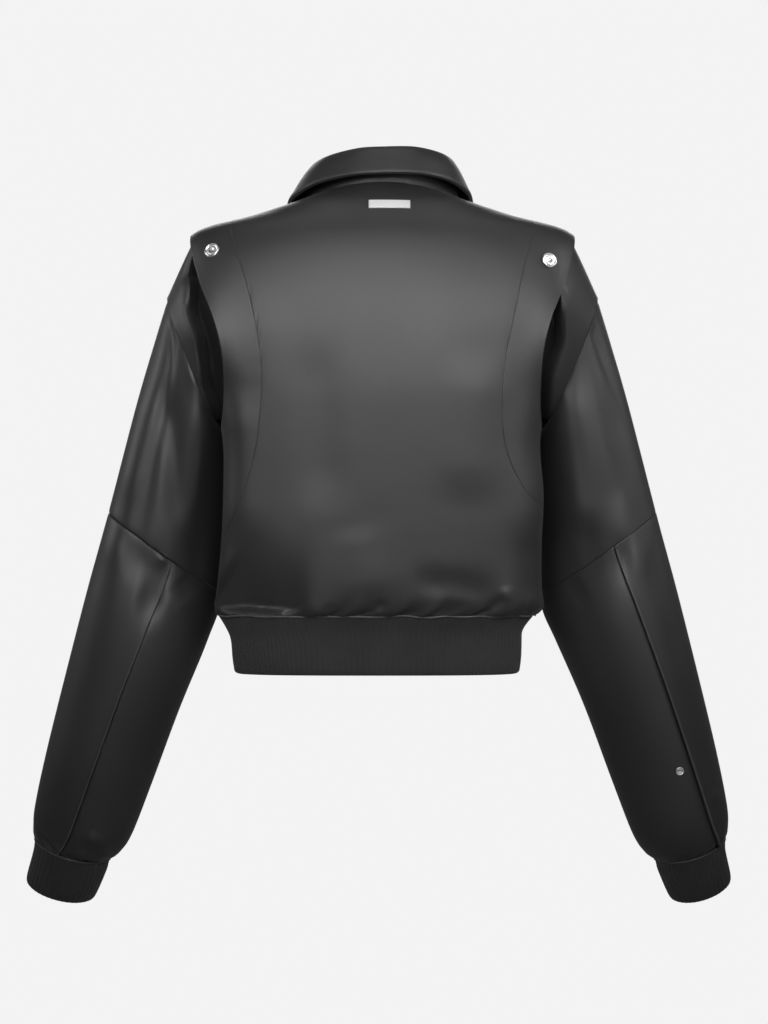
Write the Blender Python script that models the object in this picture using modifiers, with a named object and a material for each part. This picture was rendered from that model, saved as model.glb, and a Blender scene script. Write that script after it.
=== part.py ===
"""A cropped satin bomber jacket, hollow and hanging as it is worn, with nobody in it.

A vest layer (back, fronts and four wings) lies over side panels that carry the sleeves.
The wings are free at the armholes and are snapped at the shoulder tips.

Metres, +Z up. The jacket faces -Y, and the wearer's left is +X.
The origin is the middle of the neck opening, level with the shoulder seams at the neck.
"""

import math
from collections import namedtuple

import bmesh
import bpy
from mathutils import Matrix, Vector

# ---------------------------------------------------------------- driving dimensions
CLOTH = 0.0016  # satin with its backing
KNIT = 0.0022  # rib knit from valley to inside
RIB_RISE = 0.0007  # a rib above its valleys
HEM_RIB_COUNT = 150
CUFF_RIB_COUNT = 40
SEAM_GAP = 0.0004  # between neighbouring panels
ARMHOLE_GAP = 0.0008
LAYER_GAP = 0.0003  # between a panel and what lies on it
WING_STAND_OFF = 0.015  # the most that the free wing edges stand off the side panels
WING_TIP_STAND_OFF = 0.005  # the same at the shoulder tips and the underarms
WING_FLARE = 0.010  # how far the back wings bow out of the torso's round towards those edges
PANEL_SHARES = (0.0, 0.45, 0.86)  # where the side panel is laid out under a wing
PANEL_TUCK = 0.004  # how far under the wing's edge its deep fold starts
PANEL_GAP = {"left": 0.042, "right": 0.029}  # the most that the fold opens beside the wing
PANEL_GAP_SPAN = (0.04, 0.97)  # from the shoulder down to the side
PANEL_GAP_SKEW = 1.4  # widest below the middle
PANEL_GAP_MOST = 0.9  # of the way to the armhole seam
PANEL_LOW = 0.5  # where the fold is deepest, across it
PANEL_DEPTH = {"back": 2.1, "front": 1.4}  # of the fold, in stand-offs
PANEL_REACH = 0.004  # the least that its outer lip lies past the wing's edge
PANEL_LIP = 0.0015  # how wide the lip is
PANEL_LIP_DEPTH = {"middle": 0.1, "end": 0.8}  # in stand-offs
PANEL_UNDERARM = 0.85  # below this share of the way down it closes over the underarm
PANEL_UNDERARM_RISE = 0.005  # the least that it lies above the wing's lower end there
ZIP_EDGE_X = 0.0070  # half the width left open for the zip
ZIP_TAPE_X = 0.0165  # half the width of the zip over both tapes
CHAIN_HALF_WIDTH = 0.0026
CHAIN_THICKNESS = 0.0022
CHAIN_HALF_GAP = 0.0002
TAPE_THICKNESS = 0.0006
ZIP_TOP_ROW = 10.6
SLIDER_HALF_WIDTH = 0.0045
SLIDER_ENDS = (-0.0092, 0.0018)  # along the zip from its top end
SLIDER_SKIN = 0.0012  # above and below the teeth
CHANNEL_END = 0.0004  # where its channel stops against the top end of the teeth
BAIL_HALF_WIDTH = 0.0008
BAIL_ENDS = (-0.0078, -0.0010)
BAIL_TOP = 0.0058  # above the middle of the teeth
BAIL_WIRE = 0.0009
PULL_HINGE = (-0.0034, 0.00385)  # along the zip from its top end, and out from its teeth
PULL_HALF_WIDTH = 0.0040
PULL_LENGTH = 0.0268  # below its hinge
PULL_HALF_THICKNESS = 0.0006
PULL_SLOT = (0.0015, 0.0062)  # half its width, and its end below the hinge
SNAP_RADIUS = 0.0076
SNAP_PROFILE = [(0, 0.11), (0.28, 0.13), (0.56, 0.20), (0.86, 0.27), (1.0, 0.10), (0.90, 0), (0, 0)]
SLEEVE_SNAP_RADIUS = 0.0042
SNAP_LIFT = {"left": 0.0003, "right": 0.0012, "sleeve": 0.0002}  # to sit on the cloth's facets
SHOULDER_SNAPS = {"left": (0.321, 8.544), "right": (0.309, 8.326)}  # turn and row on the torso
SLEEVE_SNAP = (77.8, 5.957)  # turn and ring on the right sleeve
TAG_SIZE = (0.0405, 0.0009)  # its height lies between its two rows
TAG_X = -0.0068
TAG_ROWS = (10.132, 9.826)
COLLAR_SHIFT = {"fold": -0.006, "edge": -0.003}  # of its back, towards the wearer's right
COLLAR_LEAN = 0.0016  # the wearer's right side of the collar stands higher
COLLAR_SWELL = (0.0045, 0.0015)  # how far the fall bulges at the back and at the sides
COLLAR_SWELL_UP = 0.7  # the upward share of that
COLLAR_LEFT_REACH = (0.005, 0.001)  # how far the fall's left edge lies further out and down
SLEEVE_SWAY = 0.0025  # of both cuffs, towards the wearer's left
SLEEVE_TRIM = {"left": 0.0, "right": 0.0045}  # how much slimmer a sleeve is at its cuff seam
SIDES = {"left": 1.0, "right": -1.0}

# ---------------------------------------------------------------- section tables
# The torso from the hem seam to the neck seam: heights at the side, the centre back and the
# centre front, the middle and half the width from side to side, and where the centre back and
# front lie.
Torso = namedtuple("Torso", "side_z back_z front_z middle_x half_width back_y front_y back_flat")
TORSO = [
    Torso(-0.4140, -0.4140, -0.4140, 0.0060, 0.1575, 0.0850, -0.1130, 0.75),
    Torso(-0.4050, -0.4050, -0.4050, 0.0040, 0.1635, 0.0925, -0.1215, 0.80),
    Torso(-0.3850, -0.3850, -0.3850, 0.0030, 0.1610, 0.0975, -0.1270, 0.90),
    Torso(-0.3400, -0.3400, -0.3400, 0.0010, 0.1585, 0.1015, -0.1315, 1.00),
    Torso(-0.2950, -0.2950, -0.2980, -0.0010, 0.1580, 0.1055, -0.1355, 1.00),
    Torso(-0.2360, -0.2360, -0.2460, 0.0010, 0.1570, 0.1105, -0.1385, 1.00),
    Torso(-0.1850, -0.1850, -0.2030, 0.0000, 0.1725, 0.1135, -0.1360, 1.00),
    Torso(-0.1300, -0.1300, -0.1630, 0.0000, 0.1895, 0.1125, -0.1270, 1.00),
    Torso(-0.0800, -0.0810, -0.1300, 0.0000, 0.1970, 0.1065, -0.1140, 0.90),
    Torso(-0.0380, -0.0400, -0.1060, 0.0000, 0.1900, 0.0965, -0.1010, 0.60),
    Torso(-0.0193, -0.0120, -0.0880, 0.0000, 0.1330, 0.0810, -0.0870, 0.30),
    Torso(-0.0025, 0.0120, -0.0700, 0.0000, 0.0785, 0.0640, -0.0700, 0.10),
]
TIP_ROW = 9.0
UNDERARM_ROW = 5.0
NECK_ROW = 11.0
ROUND_POWER = 0.84  # of the depth of a torso ring: an ellipse has 1
FLAT_POWER = 4.5  # of its back where that is flattened: a box has far more
SEAM_TOP_ROW = 9.72  # where the curved seams reach the shoulder line
SEAM_END_ROW = {"left": 2.75, "right": 3.5}  # where they run out at the side
TORSO_ROWS = [0, 0.4, 0.8, 1.3, 2, 2.75, 3.5, 4.25, 5, 5.6, 6.2, 6.8, 7.4, 8, 8.5, 9,
              9.36, 9.72, 10.05, 10.5, 11]

# The curved seams of the back and fronts, by height.
Seam = namedtuple("Seam", "height left_x right_x")
CURVED_SEAM = [
    Seam(-0.362, 0.1600, 0.1600),
    Seam(-0.340, 0.1545, 0.1600),
    Seam(-0.317, 0.1455, 0.1560),
    Seam(-0.295, 0.1365, 0.1400),
    Seam(-0.270, 0.1275, 0.1260),
    Seam(-0.240, 0.1198, 0.1180),
    Seam(-0.200, 0.1166, 0.1159),
    Seam(-0.160, 0.1180, 0.1190),
    Seam(-0.125, 0.1235, 0.1265),
    Seam(-0.090, 0.1315, 0.1335),
    Seam(-0.060, 0.1410, 0.1405),
    Seam(-0.023, 0.1500, 0.1500),
]

# The free armhole edge of the wings, by height.
Edge = namedtuple("Edge", "height x")
WING_EDGE = [
    Edge(-0.2360, 0.1585),
    Edge(-0.2150, 0.1552),
    Edge(-0.1920, 0.1540),
    Edge(-0.1580, 0.1560),
    Edge(-0.1260, 0.1635),
    Edge(-0.0930, 0.1765),
    Edge(-0.0580, 0.1870),
    Edge(-0.0370, 0.1905),
]

# The rib band below the hem seam.
Rib = namedtuple("Rib", "height middle_x half_width back_y front_y back_flat")
HEM_RIB = [
    Rib(-0.4144, 0.0065, 0.1560, 0.0838, -0.1118, 0.75),
    Rib(-0.4280, 0.0075, 0.1470, 0.0778, -0.1058, 0.75),
    Rib(-0.4420, 0.0060, 0.1432, 0.0758, -0.1038, 0.75),
    Rib(-0.4720, 0.0055, 0.1385, 0.0735, -0.1015, 0.75),
]

# A sleeve from the armhole seam to the end of its cuff: the outermost and innermost point of
# each ring, the middle and half depth from front to back, how far the innermost point lies to
# the front of that middle, and how far the back hangs lower for each metre of depth.
Ring = namedtuple("Ring", "outer_x outer_z inner_x inner_z middle_y half_depth forward tilt")
SLEEVE = [
    Ring(0.2150, -0.1010, 0.1630, -0.2290, -0.002, 0.0680, 0.018, 0.00),
    Ring(0.2285, -0.1450, 0.1548, -0.2560, -0.003, 0.0710, 0.036, 0.01),
    Ring(0.2460, -0.2050, 0.1558, -0.3050, -0.004, 0.0700, 0.042, 0.02),
    Ring(0.2740, -0.3120, 0.1615, -0.3920, -0.006, 0.0640, 0.044, 0.03),
    Ring(0.2960, -0.3900, 0.1765, -0.4420, -0.014, 0.0610, 0.020, 0.07),
    Ring(0.3185, -0.4740, 0.2045, -0.5110, -0.026, 0.0575, 0.008, 0.10),
    Ring(0.3390, -0.5540, 0.2320, -0.5850, -0.037, 0.0545, 0.004, 0.12),
    Ring(0.3510, -0.6090, 0.2520, -0.6370, -0.045, 0.0510, 0.000, 0.14),
    Ring(0.3525, -0.6320, 0.2640, -0.6560, -0.048, 0.0450, 0.000, 0.15),
    Ring(0.3505, -0.6430, 0.2745, -0.6640, -0.050, 0.0385, 0.000, 0.18),
    Ring(0.3515, -0.6560, 0.2780, -0.6760, -0.052, 0.0355, 0.000, 0.20),
    Ring(0.3575, -0.6800, 0.2870, -0.6980, -0.055, 0.0345, 0.000, 0.24),
    Ring(0.3575, -0.6880, 0.2915, -0.7050, -0.056, 0.0320, 0.000, 0.27),
]
ELBOW_RING = 3.0
CUFF_RING = 9.0
SLEEVE_END_RING = 12.0
UPPER_SLEEVE_RINGS = [0, 0.4, 0.9, 1.4, 2, 2.5, 3]
LOWER_SLEEVE_RINGS = [3, 3.33, 3.67, 4, 4.6, 5.2, 5.8, 6.4, 7, 7.5, 8, 8.5, 9]
CUFF_RINGS = [9, 10, 11, 12]
# The long seams of the lower sleeve, as turns round the ring in degrees from its outer point
# over the back: at the elbow and at the cuff.
BACK_SEAM_TURN = {"left": (100.0, 74.0), "right": (79.0, 47.0)}
FRONT_SEAM_TURN = (238.0, 232.0)
FOLD_FADE_RINGS = 0.4  # the folds fade out over this much of a loft at its seams
NECK_FADE_ROWS = 2.0
NORMAL_STEP = 0.02  # in rows, for the slope of a loft
NORMAL_STEP_TURN = 0.002
NORMAL_STEP_DEGREES = 1.0

# The collar, by turn from the centre back: the fold line and the free edge of the fall.
Collar = namedtuple("Collar", "turn fold_x fold_y fold_z edge_x edge_y edge_z")
COLLAR = [
    Collar(0, 0.0000, 0.0620, 0.0465, 0.0000, 0.0840, 0.0180),
    Collar(20, 0.0275, 0.0580, 0.0463, 0.0330, 0.0800, 0.0172),
    Collar(45, 0.0560, 0.0420, 0.0412, 0.0645, 0.0625, 0.0120),
    Collar(70, 0.0705, 0.0180, 0.0340, 0.0840, 0.0325, 0.0035),
    Collar(90, 0.0715, -0.0040, 0.0240, 0.0905, 0.0020, -0.0012),
    Collar(115, 0.0630, -0.0320, 0.0100, 0.0920, -0.0390, -0.0128),
    Collar(140, 0.0440, -0.0560, -0.0110, 0.0840, -0.0770, -0.0440),
    Collar(160, 0.0250, -0.0690, -0.0270, 0.0680, -0.0980, -0.0740),
    Collar(174, 0.0080, -0.0755, -0.0370, 0.0490, -0.1075, -0.0990),
]

# Large soft folds: where they are on their loft (across, along), their half sizes there, how
# far they turn the crest, and how high they rise (below zero, how deep they sink).
Fold = namedtuple("Fold", "across along half_across half_along lean rise")
SLEEVE_FOLDS = {
    "left": [
        Fold(62, 1.9, 11, 1.5, 4, -0.0045),
        Fold(95, 1.4, 13, 1.6, -2, 0.0035),
        Fold(126, 2.3, 12, 1.0, 0, -0.0030),
        Fold(48, 0.5, 10, 0.5, 10, -0.0030),
        Fold(84, 3.25, 22, 0.25, 0, -0.0030),
        Fold(118, 3.4, 20, 0.30, 0, 0.0030),
        Fold(112, 8.2, 22, 0.45, 0, 0.0035),
        Fold(60, 7.8, 20, 0.60, 0, -0.0025),
        Fold(250, 2.2, 16, 1.4, 0, -0.0035),
        Fold(300, 3.3, 26, 0.50, 0, -0.0030),
    ],
    "right": [
        Fold(66, 2.1, 13, 1.1, 0, 0.0040),
        Fold(100, 1.7, 12, 1.6, 0, -0.0035),
        Fold(44, 0.9, 9, 0.9, -8, -0.0035),
        Fold(74, 3.2, 20, 0.30, 0, -0.0030),
        Fold(120, 4.0, 18, 1.2, 0, -0.0025),
        Fold(58, 8.0, 18, 0.60, 0, 0.0030),
        Fold(185, 3.3, 40, 0.80, 0, 0.0035),
        Fold(250, 2.2, 16, 1.4, 0, -0.0035),
        Fold(300, 3.3, 26, 0.50, 0, -0.0030),
    ],
}
TORSO_FOLDS = [
    Fold(0.29, 1.4, 0.05, 1.0, 0.00, -0.0030),
    Fold(-0.30, 1.2, 0.05, 0.9, 0.00, 0.0030),
    Fold(0.12, 0.9, 0.05, 0.6, 0.00, 0.0022),
    Fold(-0.15, 0.8, 0.04, 0.6, 0.00, -0.0025),
    Fold(0.72, 1.3, 0.05, 1.3, 0.00, -0.0030),
    Fold(-0.72, 1.3, 0.05, 1.3, 0.00, -0.0030),
    Fold(0.66, 6.2, 0.05, 1.2, 0.02, -0.0025),
    Fold(-0.66, 6.2, 0.05, 1.2, 0.02, -0.0025),
]

# ---------------------------------------------------------------- materials
SATIN = ("satin", (0.018, 0.018, 0.019), 0.38, 0.0)
RIB = ("rib_knit", (0.020, 0.020, 0.020), 0.85, 0.0)
METAL = ("snap_metal", (0.80, 0.80, 0.80), 0.30, 1.0)
TAPE = ("zip_tape", (0.015, 0.015, 0.015), 0.80, 0.0)
BLACK_METAL = ("zip_metal", (0.09, 0.09, 0.095), 0.35, 1.0)


# ---------------------------------------------------------------- curves through tables
def value_at(table, column, position):
    """A column of a table at a row position between its rows, on a smooth curve."""
    last = len(table) - 1
    position = min(max(position, 0.0), float(last))
    row = min(int(position), last - 1)
    t = position - row

    def entry(i):
        return getattr(table[min(max(i, 0), last)], column)

    before, start, end, after = (entry(row + k) for k in (-1, 0, 1, 2))
    leave, arrive = (end - before) / 2, (after - start) / 2
    return (
        (2 * t**3 - 3 * t**2 + 1) * start
        + (t**3 - 2 * t**2 + t) * leave
        + (3 * t**2 - 2 * t**3) * end
        + (t**3 - t**2) * arrive
    )


def by_key(table, key, column, value):
    """A column of a table whose key column rises, at a value of that key."""
    keys = [getattr(row, key) for row in table]
    value = min(max(value, keys[0]), keys[-1])
    row = max(i for i in range(len(keys) - 1) if keys[i] <= value)
    return value_at(table, column, row + (value - keys[row]) / (keys[row + 1] - keys[row]))


def folded(folds, across, along):
    """How far the folds move a point of the cloth outwards."""
    rise = 0.0
    for fold in folds:
        down = (along - fold.along) / fold.half_along
        side = (across - fold.across - fold.lean * down) / fold.half_across
        rise += fold.rise * math.exp(-(down**2) - side**2)
    return rise


# ---------------------------------------------------------------- the three lofts
def oval(turn, half_width, back_y, front_y, back_flat):
    """A point of a torso ring. Turn 0 is the centre back, 1 the centre front, and its sign is the side."""
    across, facing = math.sin(math.pi * turn), math.cos(math.pi * turn)
    depth = abs(facing) ** ROUND_POWER
    if facing > 0:
        flat = (1 - abs(across) ** FLAT_POWER) ** (1 / FLAT_POWER)
        depth += (flat - depth) * back_flat
    return half_width * across, (back_y if facing > 0 else front_y) * depth


def torso_point(turn, row):
    at = {name: value_at(TORSO, name, row) for name in Torso._fields}
    x, y = oval(turn, at["half_width"], at["back_y"], at["front_y"], at["back_flat"])
    x += at["middle_x"]
    facing = math.cos(math.pi * turn)
    centre_z = at["back_z"] if facing > 0 else at["front_z"]
    return Vector((x, y, at["side_z"] + (centre_z - at["side_z"]) * facing**2))


def hem_point(turn, row):
    at = {name: value_at(HEM_RIB, name, row) for name in Rib._fields}
    x, y = oval(turn, at["half_width"], at["back_y"], at["front_y"], at["back_flat"])
    return Vector((x + at["middle_x"], y, at["height"]))


def hem_normal(turn, row):
    row = min(max(row, NORMAL_STEP), len(HEM_RIB) - 1 - NORMAL_STEP)
    return outward(hem_point, turn, row, NORMAL_STEP_TURN)


def sleeve_point(turn, row):
    """A point of the left sleeve. The turn is in degrees from the outermost point over the back."""
    at = {name: value_at(SLEEVE, name, row) for name in Ring._fields}
    angle = math.radians(turn)
    across, back = math.cos(angle), at["half_depth"] * math.sin(angle)
    return Vector(
        (
            (at["outer_x"] + at["inner_x"]) / 2 + across * (at["outer_x"] - at["inner_x"]) / 2,
            at["middle_y"] + back - at["forward"] * (1 - across) / 2,
            (at["outer_z"] + at["inner_z"]) / 2
            + across * (at["outer_z"] - at["inner_z"]) / 2
            - at["tilt"] * back,
        )
    )


def outward(point, across, along, step_across):
    """The unit normal of a loft, from its neighbouring points."""
    sideways = point(across + step_across, along) - point(across - step_across, along)
    upwards = point(across, along + NORMAL_STEP) - point(across, along - NORMAL_STEP)
    return sideways.cross(upwards).normalized()


def torso_spot(turn, row):
    """A point of the torso cloth and its outward normal."""
    row_for_normal = min(max(row, NORMAL_STEP), NECK_ROW - NORMAL_STEP)
    normal = -outward(torso_point, turn, row_for_normal, NORMAL_STEP_TURN)
    fade = min(1.0, row / FOLD_FADE_RINGS) * min(1.0, (NECK_ROW - row) / NECK_FADE_ROWS)
    return torso_point(turn, row) + normal * folded(TORSO_FOLDS, turn, row) * fade, normal


def sleeve_spot(side, turn, row):
    """A point of a sleeve's cloth and its outward normal."""
    row_for_normal = min(max(row, NORMAL_STEP), SLEEVE_END_RING - NORMAL_STEP)
    normal = -outward(sleeve_point, turn, row_for_normal, NORMAL_STEP_DEGREES)
    fade = min(1.0, row / FOLD_FADE_RINGS) * min(1.0, max(0.0, CUFF_RING - row) / FOLD_FADE_RINGS)
    point = sleeve_point(turn, row) + normal * folded(SLEEVE_FOLDS[side], turn % 360, row) * fade
    inward = (1 - math.cos(math.radians(turn))) / 2
    sway = SLEEVE_SWAY + SIDES[side] * SLEEVE_TRIM[side] * inward
    swayed = Vector((sway * (row / CUFF_RING) ** 2, 0, 0))
    return mirrored(side, point) + swayed, mirrored(side, normal)


def mirrored(side, vector):
    return Vector((vector.x * SIDES[side], vector.y, vector.z))


# ---------------------------------------------------------------- seams on the torso
def seam_turn(side, row, front=False):
    """The turn of the curved seam on one half of the torso, unsigned."""
    if row <= SEAM_END_ROW[side] or row >= SEAM_TOP_ROW:
        return 0.5
    height = value_at(TORSO, "side_z", row)
    x = by_key(CURVED_SEAM, "height", side + "_x", height)
    turn = math.asin(min(1.0, x / value_at(TORSO, "half_width", row))) / math.pi
    return 1 - turn if front else turn


def edge_turn(row, front=False):
    """The turn of the wings' free edge, unsigned."""
    x = by_key(WING_EDGE, "height", "x", value_at(TORSO, "side_z", row))
    share = x / value_at(TORSO, "half_width", row)
    turn = 0.5 if row <= UNDERARM_ROW or row >= TIP_ROW else math.asin(min(1.0, share)) / math.pi
    return 1 - turn if front else turn


def zip_turn(row, x):
    """The turn, unsigned, where the front is x from its centre line."""
    return 1 - math.asin(x / value_at(TORSO, "half_width", row)) / math.pi


def wing_rows(side):
    """Pairs of torso rows, from the shoulder to the side: at the curved seam and at the free edge."""
    seam_rows = [r for r in TORSO_ROWS if SEAM_END_ROW[side] <= r <= SEAM_TOP_ROW][::-1]
    step = (TIP_ROW - UNDERARM_ROW) / (len(seam_rows) - 1)
    return [(row, TIP_ROW - step * i) for i, row in enumerate(seam_rows)]


# ---------------------------------------------------------------- building walls
COLLECTION = bpy.data.collections.new("bomber_jacket")
CUTTERS = bpy.data.collections.new("cutters")


def material(name, colour, roughness, metallic):
    found = bpy.data.materials.get(name)
    if found:
        return found
    made = bpy.data.materials.new(name)
    made.use_nodes = True
    shader = made.node_tree.nodes["Principled BSDF"]
    shader.inputs["Base Color"].default_value = (*colour, 1.0)
    shader.inputs["Roughness"].default_value = roughness
    shader.inputs["Metallic"].default_value = metallic
    return made


def add_object(name, vertices, faces, look):
    mesh = bpy.data.meshes.new(name)
    mesh.from_pydata([tuple(v) for v in vertices], [], faces)
    mesh.validate()
    mesh.shade_smooth()
    mesh.set_sharp_from_angle(angle=math.radians(40))
    mesh.materials.append(material(*look))
    made = bpy.data.objects.new(name, mesh)
    COLLECTION.objects.link(made)
    return made


def inset_borders(grid, closed, gap):
    """Moves a patch's border points half a seam gap towards the points beside them."""
    rows, columns = len(grid), len(grid[0])
    moved = [[spot for spot in row] for row in grid]

    def pull(i, j, toward_i, toward_j):
        point, normal = moved[i][j]
        direction = (grid[toward_i][toward_j][0] - grid[i][j][0]).normalized()
        moved[i][j] = (point + direction * gap / 2, normal)

    for j in range(columns):
        pull(0, j, 1, j)
        pull(rows - 1, j, rows - 2, j)
    if not closed:
        for i in range(rows):
            pull(i, 0, i, 1)
            pull(i, columns - 1, i, columns - 2)
    return moved


def wall(name, grid, look, thickness=CLOTH, out=0.0, closed=False, gap=SEAM_GAP,
         relief=None, inner_every=1):
    """A cloth wall from rows of (point, outward normal). Its outer face is moved out by out and
    raised by relief(row, column); its inner face has every inner_every-th column."""
    grid = inset_borders(grid, closed, gap)
    rows, columns = len(grid), len(grid[0])
    rise = relief or (lambda i, j: 0.0)
    outer = [
        [point + normal * (out + rise(i, j)) for j, (point, normal) in enumerate(row)]
        for i, row in enumerate(grid)
    ]
    inner = [
        [point + normal * (out - thickness) for point, normal in row[::inner_every]]
        for row in grid
    ]
    inner_columns = len(inner[0])
    vertices = [p for row in outer for p in row] + [p for row in inner for p in row]

    def outer_at(i, j):
        return i * columns + j % columns

    def inner_at(i, j):
        return rows * columns + i * inner_columns + j % inner_columns

    spans = columns if closed else columns - 1
    inner_spans = inner_columns if closed else inner_columns - 1
    faces = []
    for i in range(rows - 1):
        for j in range(spans):
            faces.append([outer_at(i, j), outer_at(i, j + 1), outer_at(i + 1, j + 1), outer_at(i + 1, j)])
        for j in range(inner_spans):
            faces.append([inner_at(i, j), inner_at(i + 1, j), inner_at(i + 1, j + 1), inner_at(i, j + 1)])
        if not closed:
            faces.append([outer_at(i, 0), outer_at(i + 1, 0), inner_at(i + 1, 0), inner_at(i, 0)])
            faces.append([inner_at(i, inner_columns - 1), inner_at(i + 1, inner_columns - 1),
                          outer_at(i + 1, columns - 1), outer_at(i, columns - 1)])
    for i in (0, rows - 1):
        for j in range(inner_spans):
            rim = [outer_at(i, j * inner_every + k) for k in range(inner_every + 1)]
            face = [inner_at(i, j), inner_at(i, j + 1)] + rim[::-1]
            faces.append(face if i == 0 else face[::-1])
    return add_object(name, vertices, outward_faces(vertices, faces), look)


def outward_faces(vertices, faces):
    """The faces turned so that the closed mesh they make has a positive volume."""
    volume = 0.0
    for face in faces:
        first = vertices[face[0]]
        for k in range(1, len(face) - 1):
            volume += first.dot(vertices[face[k]].cross(vertices[face[k + 1]]))
    return faces if volume > 0 else [face[::-1] for face in faces]


def steps(start, end, count):
    return [start + (end - start) * k / count for k in range(count + 1)]


# ---------------------------------------------------------------- vest layer
def build_back():
    grid = []
    for row in TORSO_ROWS:
        limits = (-seam_turn("right", row), seam_turn("left", row))
        grid.append([torso_spot(turn, row) for turn in steps(*limits, 18)])
    wall("back", grid, SATIN)


def build_front(side):
    grid = []
    for row in TORSO_ROWS:
        limits = (seam_turn(side, row, front=True), zip_turn(row, ZIP_EDGE_X))
        grid.append([torso_spot(turn * SIDES[side], row) for turn in steps(*limits, 9)])
    wall("front_" + side, grid, SATIN)


def wing_spot(side, front, seam_row, edge_row, share):
    """A spot on the torso between the curved seam (share 0) and the free edge (share 1)."""
    start = seam_turn(side, seam_row, front)
    turn = start + (edge_turn(edge_row, front) - start) * share
    at, normal = torso_spot(turn * SIDES[side], seam_row + (edge_row - seam_row) * share)
    if not front:
        free = (edge_row - UNDERARM_ROW) / (TIP_ROW - UNDERARM_ROW)
        at.y += WING_FLARE * (share * math.sin(math.pi * free)) ** 2
    return at, normal


def build_wing(side, front):
    grid = [
        [wing_spot(side, front, seam_row, edge_row, share) for share in steps(0, 1, 5)]
        for seam_row, edge_row in wing_rows(side)
    ]
    wall(f"wing_{'front' if front else 'back'}_{side}", grid, SATIN)


# ---------------------------------------------------------------- side panels under the wings
def armhole_turns(side):
    """The turns, round the sleeve's first ring, of the lines the side panel runs along."""
    count = 2 * len(wing_rows(side)) - 2
    return [360 * k / count for k in range(count)]


def side_panel_line(side, turn):
    """Points of the side panel from the curved seam, under the wing, to the armhole seam."""
    front = turn > 180
    rows = wing_rows(side)
    down = (360 - turn if front else turn) / 180
    seam_row, edge_row = rows[round(down * (len(rows) - 1))]
    under = CLOTH + LAYER_GAP
    bow = math.sin(math.pi * down) ** 0.7
    lift = WING_TIP_STAND_OFF + (WING_STAND_OFF - WING_TIP_STAND_OFF) * bow
    line = []
    for share in PANEL_SHARES:
        at, normal = wing_spot(side, front, seam_row, edge_row, share)
        line.append(at - normal * (under + lift * share / PANEL_SHARES[-1]))
    edge, normal = wing_spot(side, front, seam_row, edge_row, 1.0)
    seam = sleeve_spot(side, turn, 0)[0]
    start, end = PANEL_GAP_SPAN
    span = min(max((down - start) / (end - start), 0.0), 1.0)
    gap = max(PANEL_REACH, PANEL_GAP[side] * math.sin(math.pi * span**PANEL_GAP_SKEW))
    gap = min(gap, PANEL_GAP_MOST * (seam - edge).length)
    lip_depth = PANEL_LIP_DEPTH["end"] + (PANEL_LIP_DEPTH["middle"] - PANEL_LIP_DEPTH["end"]) * bow
    out = (seam - edge).normalized()
    inward = -(normal + Vector((0, -bow if front else bow, 0))).normalized()
    deep = PANEL_DEPTH["front" if front else "back"]
    tuck = edge - out * PANEL_TUCK - normal * (under + lift)
    low = edge + out * (gap - PANEL_LIP) * PANEL_LOW + inward * (under + lift * deep)
    crest = edge + out * gap - normal * (under + lift * lip_depth)
    for point in (tuck, low, crest):
        if down > PANEL_UNDERARM:
            point.z = max(point.z, edge.z + PANEL_UNDERARM_RISE)
    return line + [tuck, low, crest, seam]


def side_panel_grid(side):
    """The side panel as rings of (point, normal), from the curved seam out to the armhole seam."""
    lines = [side_panel_line(side, turn) for turn in armhole_turns(side)]
    count, last = len(lines), len(lines[0]) - 1
    grid = []
    for k in range(last + 1):
        ring = []
        for i, line in enumerate(lines):
            onward = line[min(k + 1, last)] - line[max(k - 1, 0)]
            around = lines[(i + 1) % count][k] - lines[i - 1][k]
            normal = onward.cross(around).normalized() * SIDES[side]
            if k == last:
                normal = (normal + sleeve_spot(side, armhole_turns(side)[i], 0)[1]).normalized()
            ring.append((line[k], normal))
        grid.append(ring)
    return grid


# ---------------------------------------------------------------- sleeves and cuffs
def build_side_panel_and_upper_sleeve(side):
    """The two meet in the armhole seam, where their walls share their points and normals."""
    panel = side_panel_grid(side)
    wall("side_panel_" + side, panel, SATIN, closed=True, gap=ARMHOLE_GAP)
    turns = armhole_turns(side)
    sleeve = [[sleeve_spot(side, turn, row) for turn in turns] for row in UPPER_SLEEVE_RINGS[1:]]
    wall("sleeve_upper_" + side, [panel[-1]] + sleeve, SATIN, closed=True, gap=ARMHOLE_GAP)


def long_seam_turn(ends, row):
    share = (row - ELBOW_RING) / (CUFF_RING - ELBOW_RING)
    return ends[0] + (ends[1] - ends[0]) * share


def build_lower_sleeve(side):
    outer, inner = [], []
    for row in LOWER_SLEEVE_RINGS:
        back = long_seam_turn(BACK_SEAM_TURN[side], row)
        front = long_seam_turn(FRONT_SEAM_TURN, row)
        inner.append([sleeve_spot(side, turn, row) for turn in steps(back, front, 13)])
        outer.append([sleeve_spot(side, turn, row) for turn in steps(front - 360, back, 15)])
    wall("sleeve_lower_inner_" + side, inner, SATIN)
    wall("sleeve_lower_outer_" + side, outer, SATIN)


def rib_relief(i, j):
    """Every second column is the crest of a rib."""
    return RIB_RISE if j % 2 else 0.0


def build_cuff(side):
    columns = 2 * CUFF_RIB_COUNT
    grid = [
        [sleeve_spot(side, 360 * k / columns, row) for k in range(columns)] for row in CUFF_RINGS
    ]
    wall("cuff_" + side, grid, RIB, KNIT, closed=True, relief=rib_relief, inner_every=4)


def build_hem():
    columns = 2 * HEM_RIB_COUNT
    opening = math.asin(ZIP_EDGE_X / HEM_RIB[0].half_width) / math.pi
    grid = []
    for row in range(len(HEM_RIB)):
        ring = []
        for turn in steps(-1 + opening, 1 - opening, columns):
            ring.append((hem_point(turn, row), hem_normal(turn, row)))
        grid.append(ring)
    wall("hem_rib", grid, RIB, KNIT, relief=rib_relief, inner_every=5)


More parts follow.
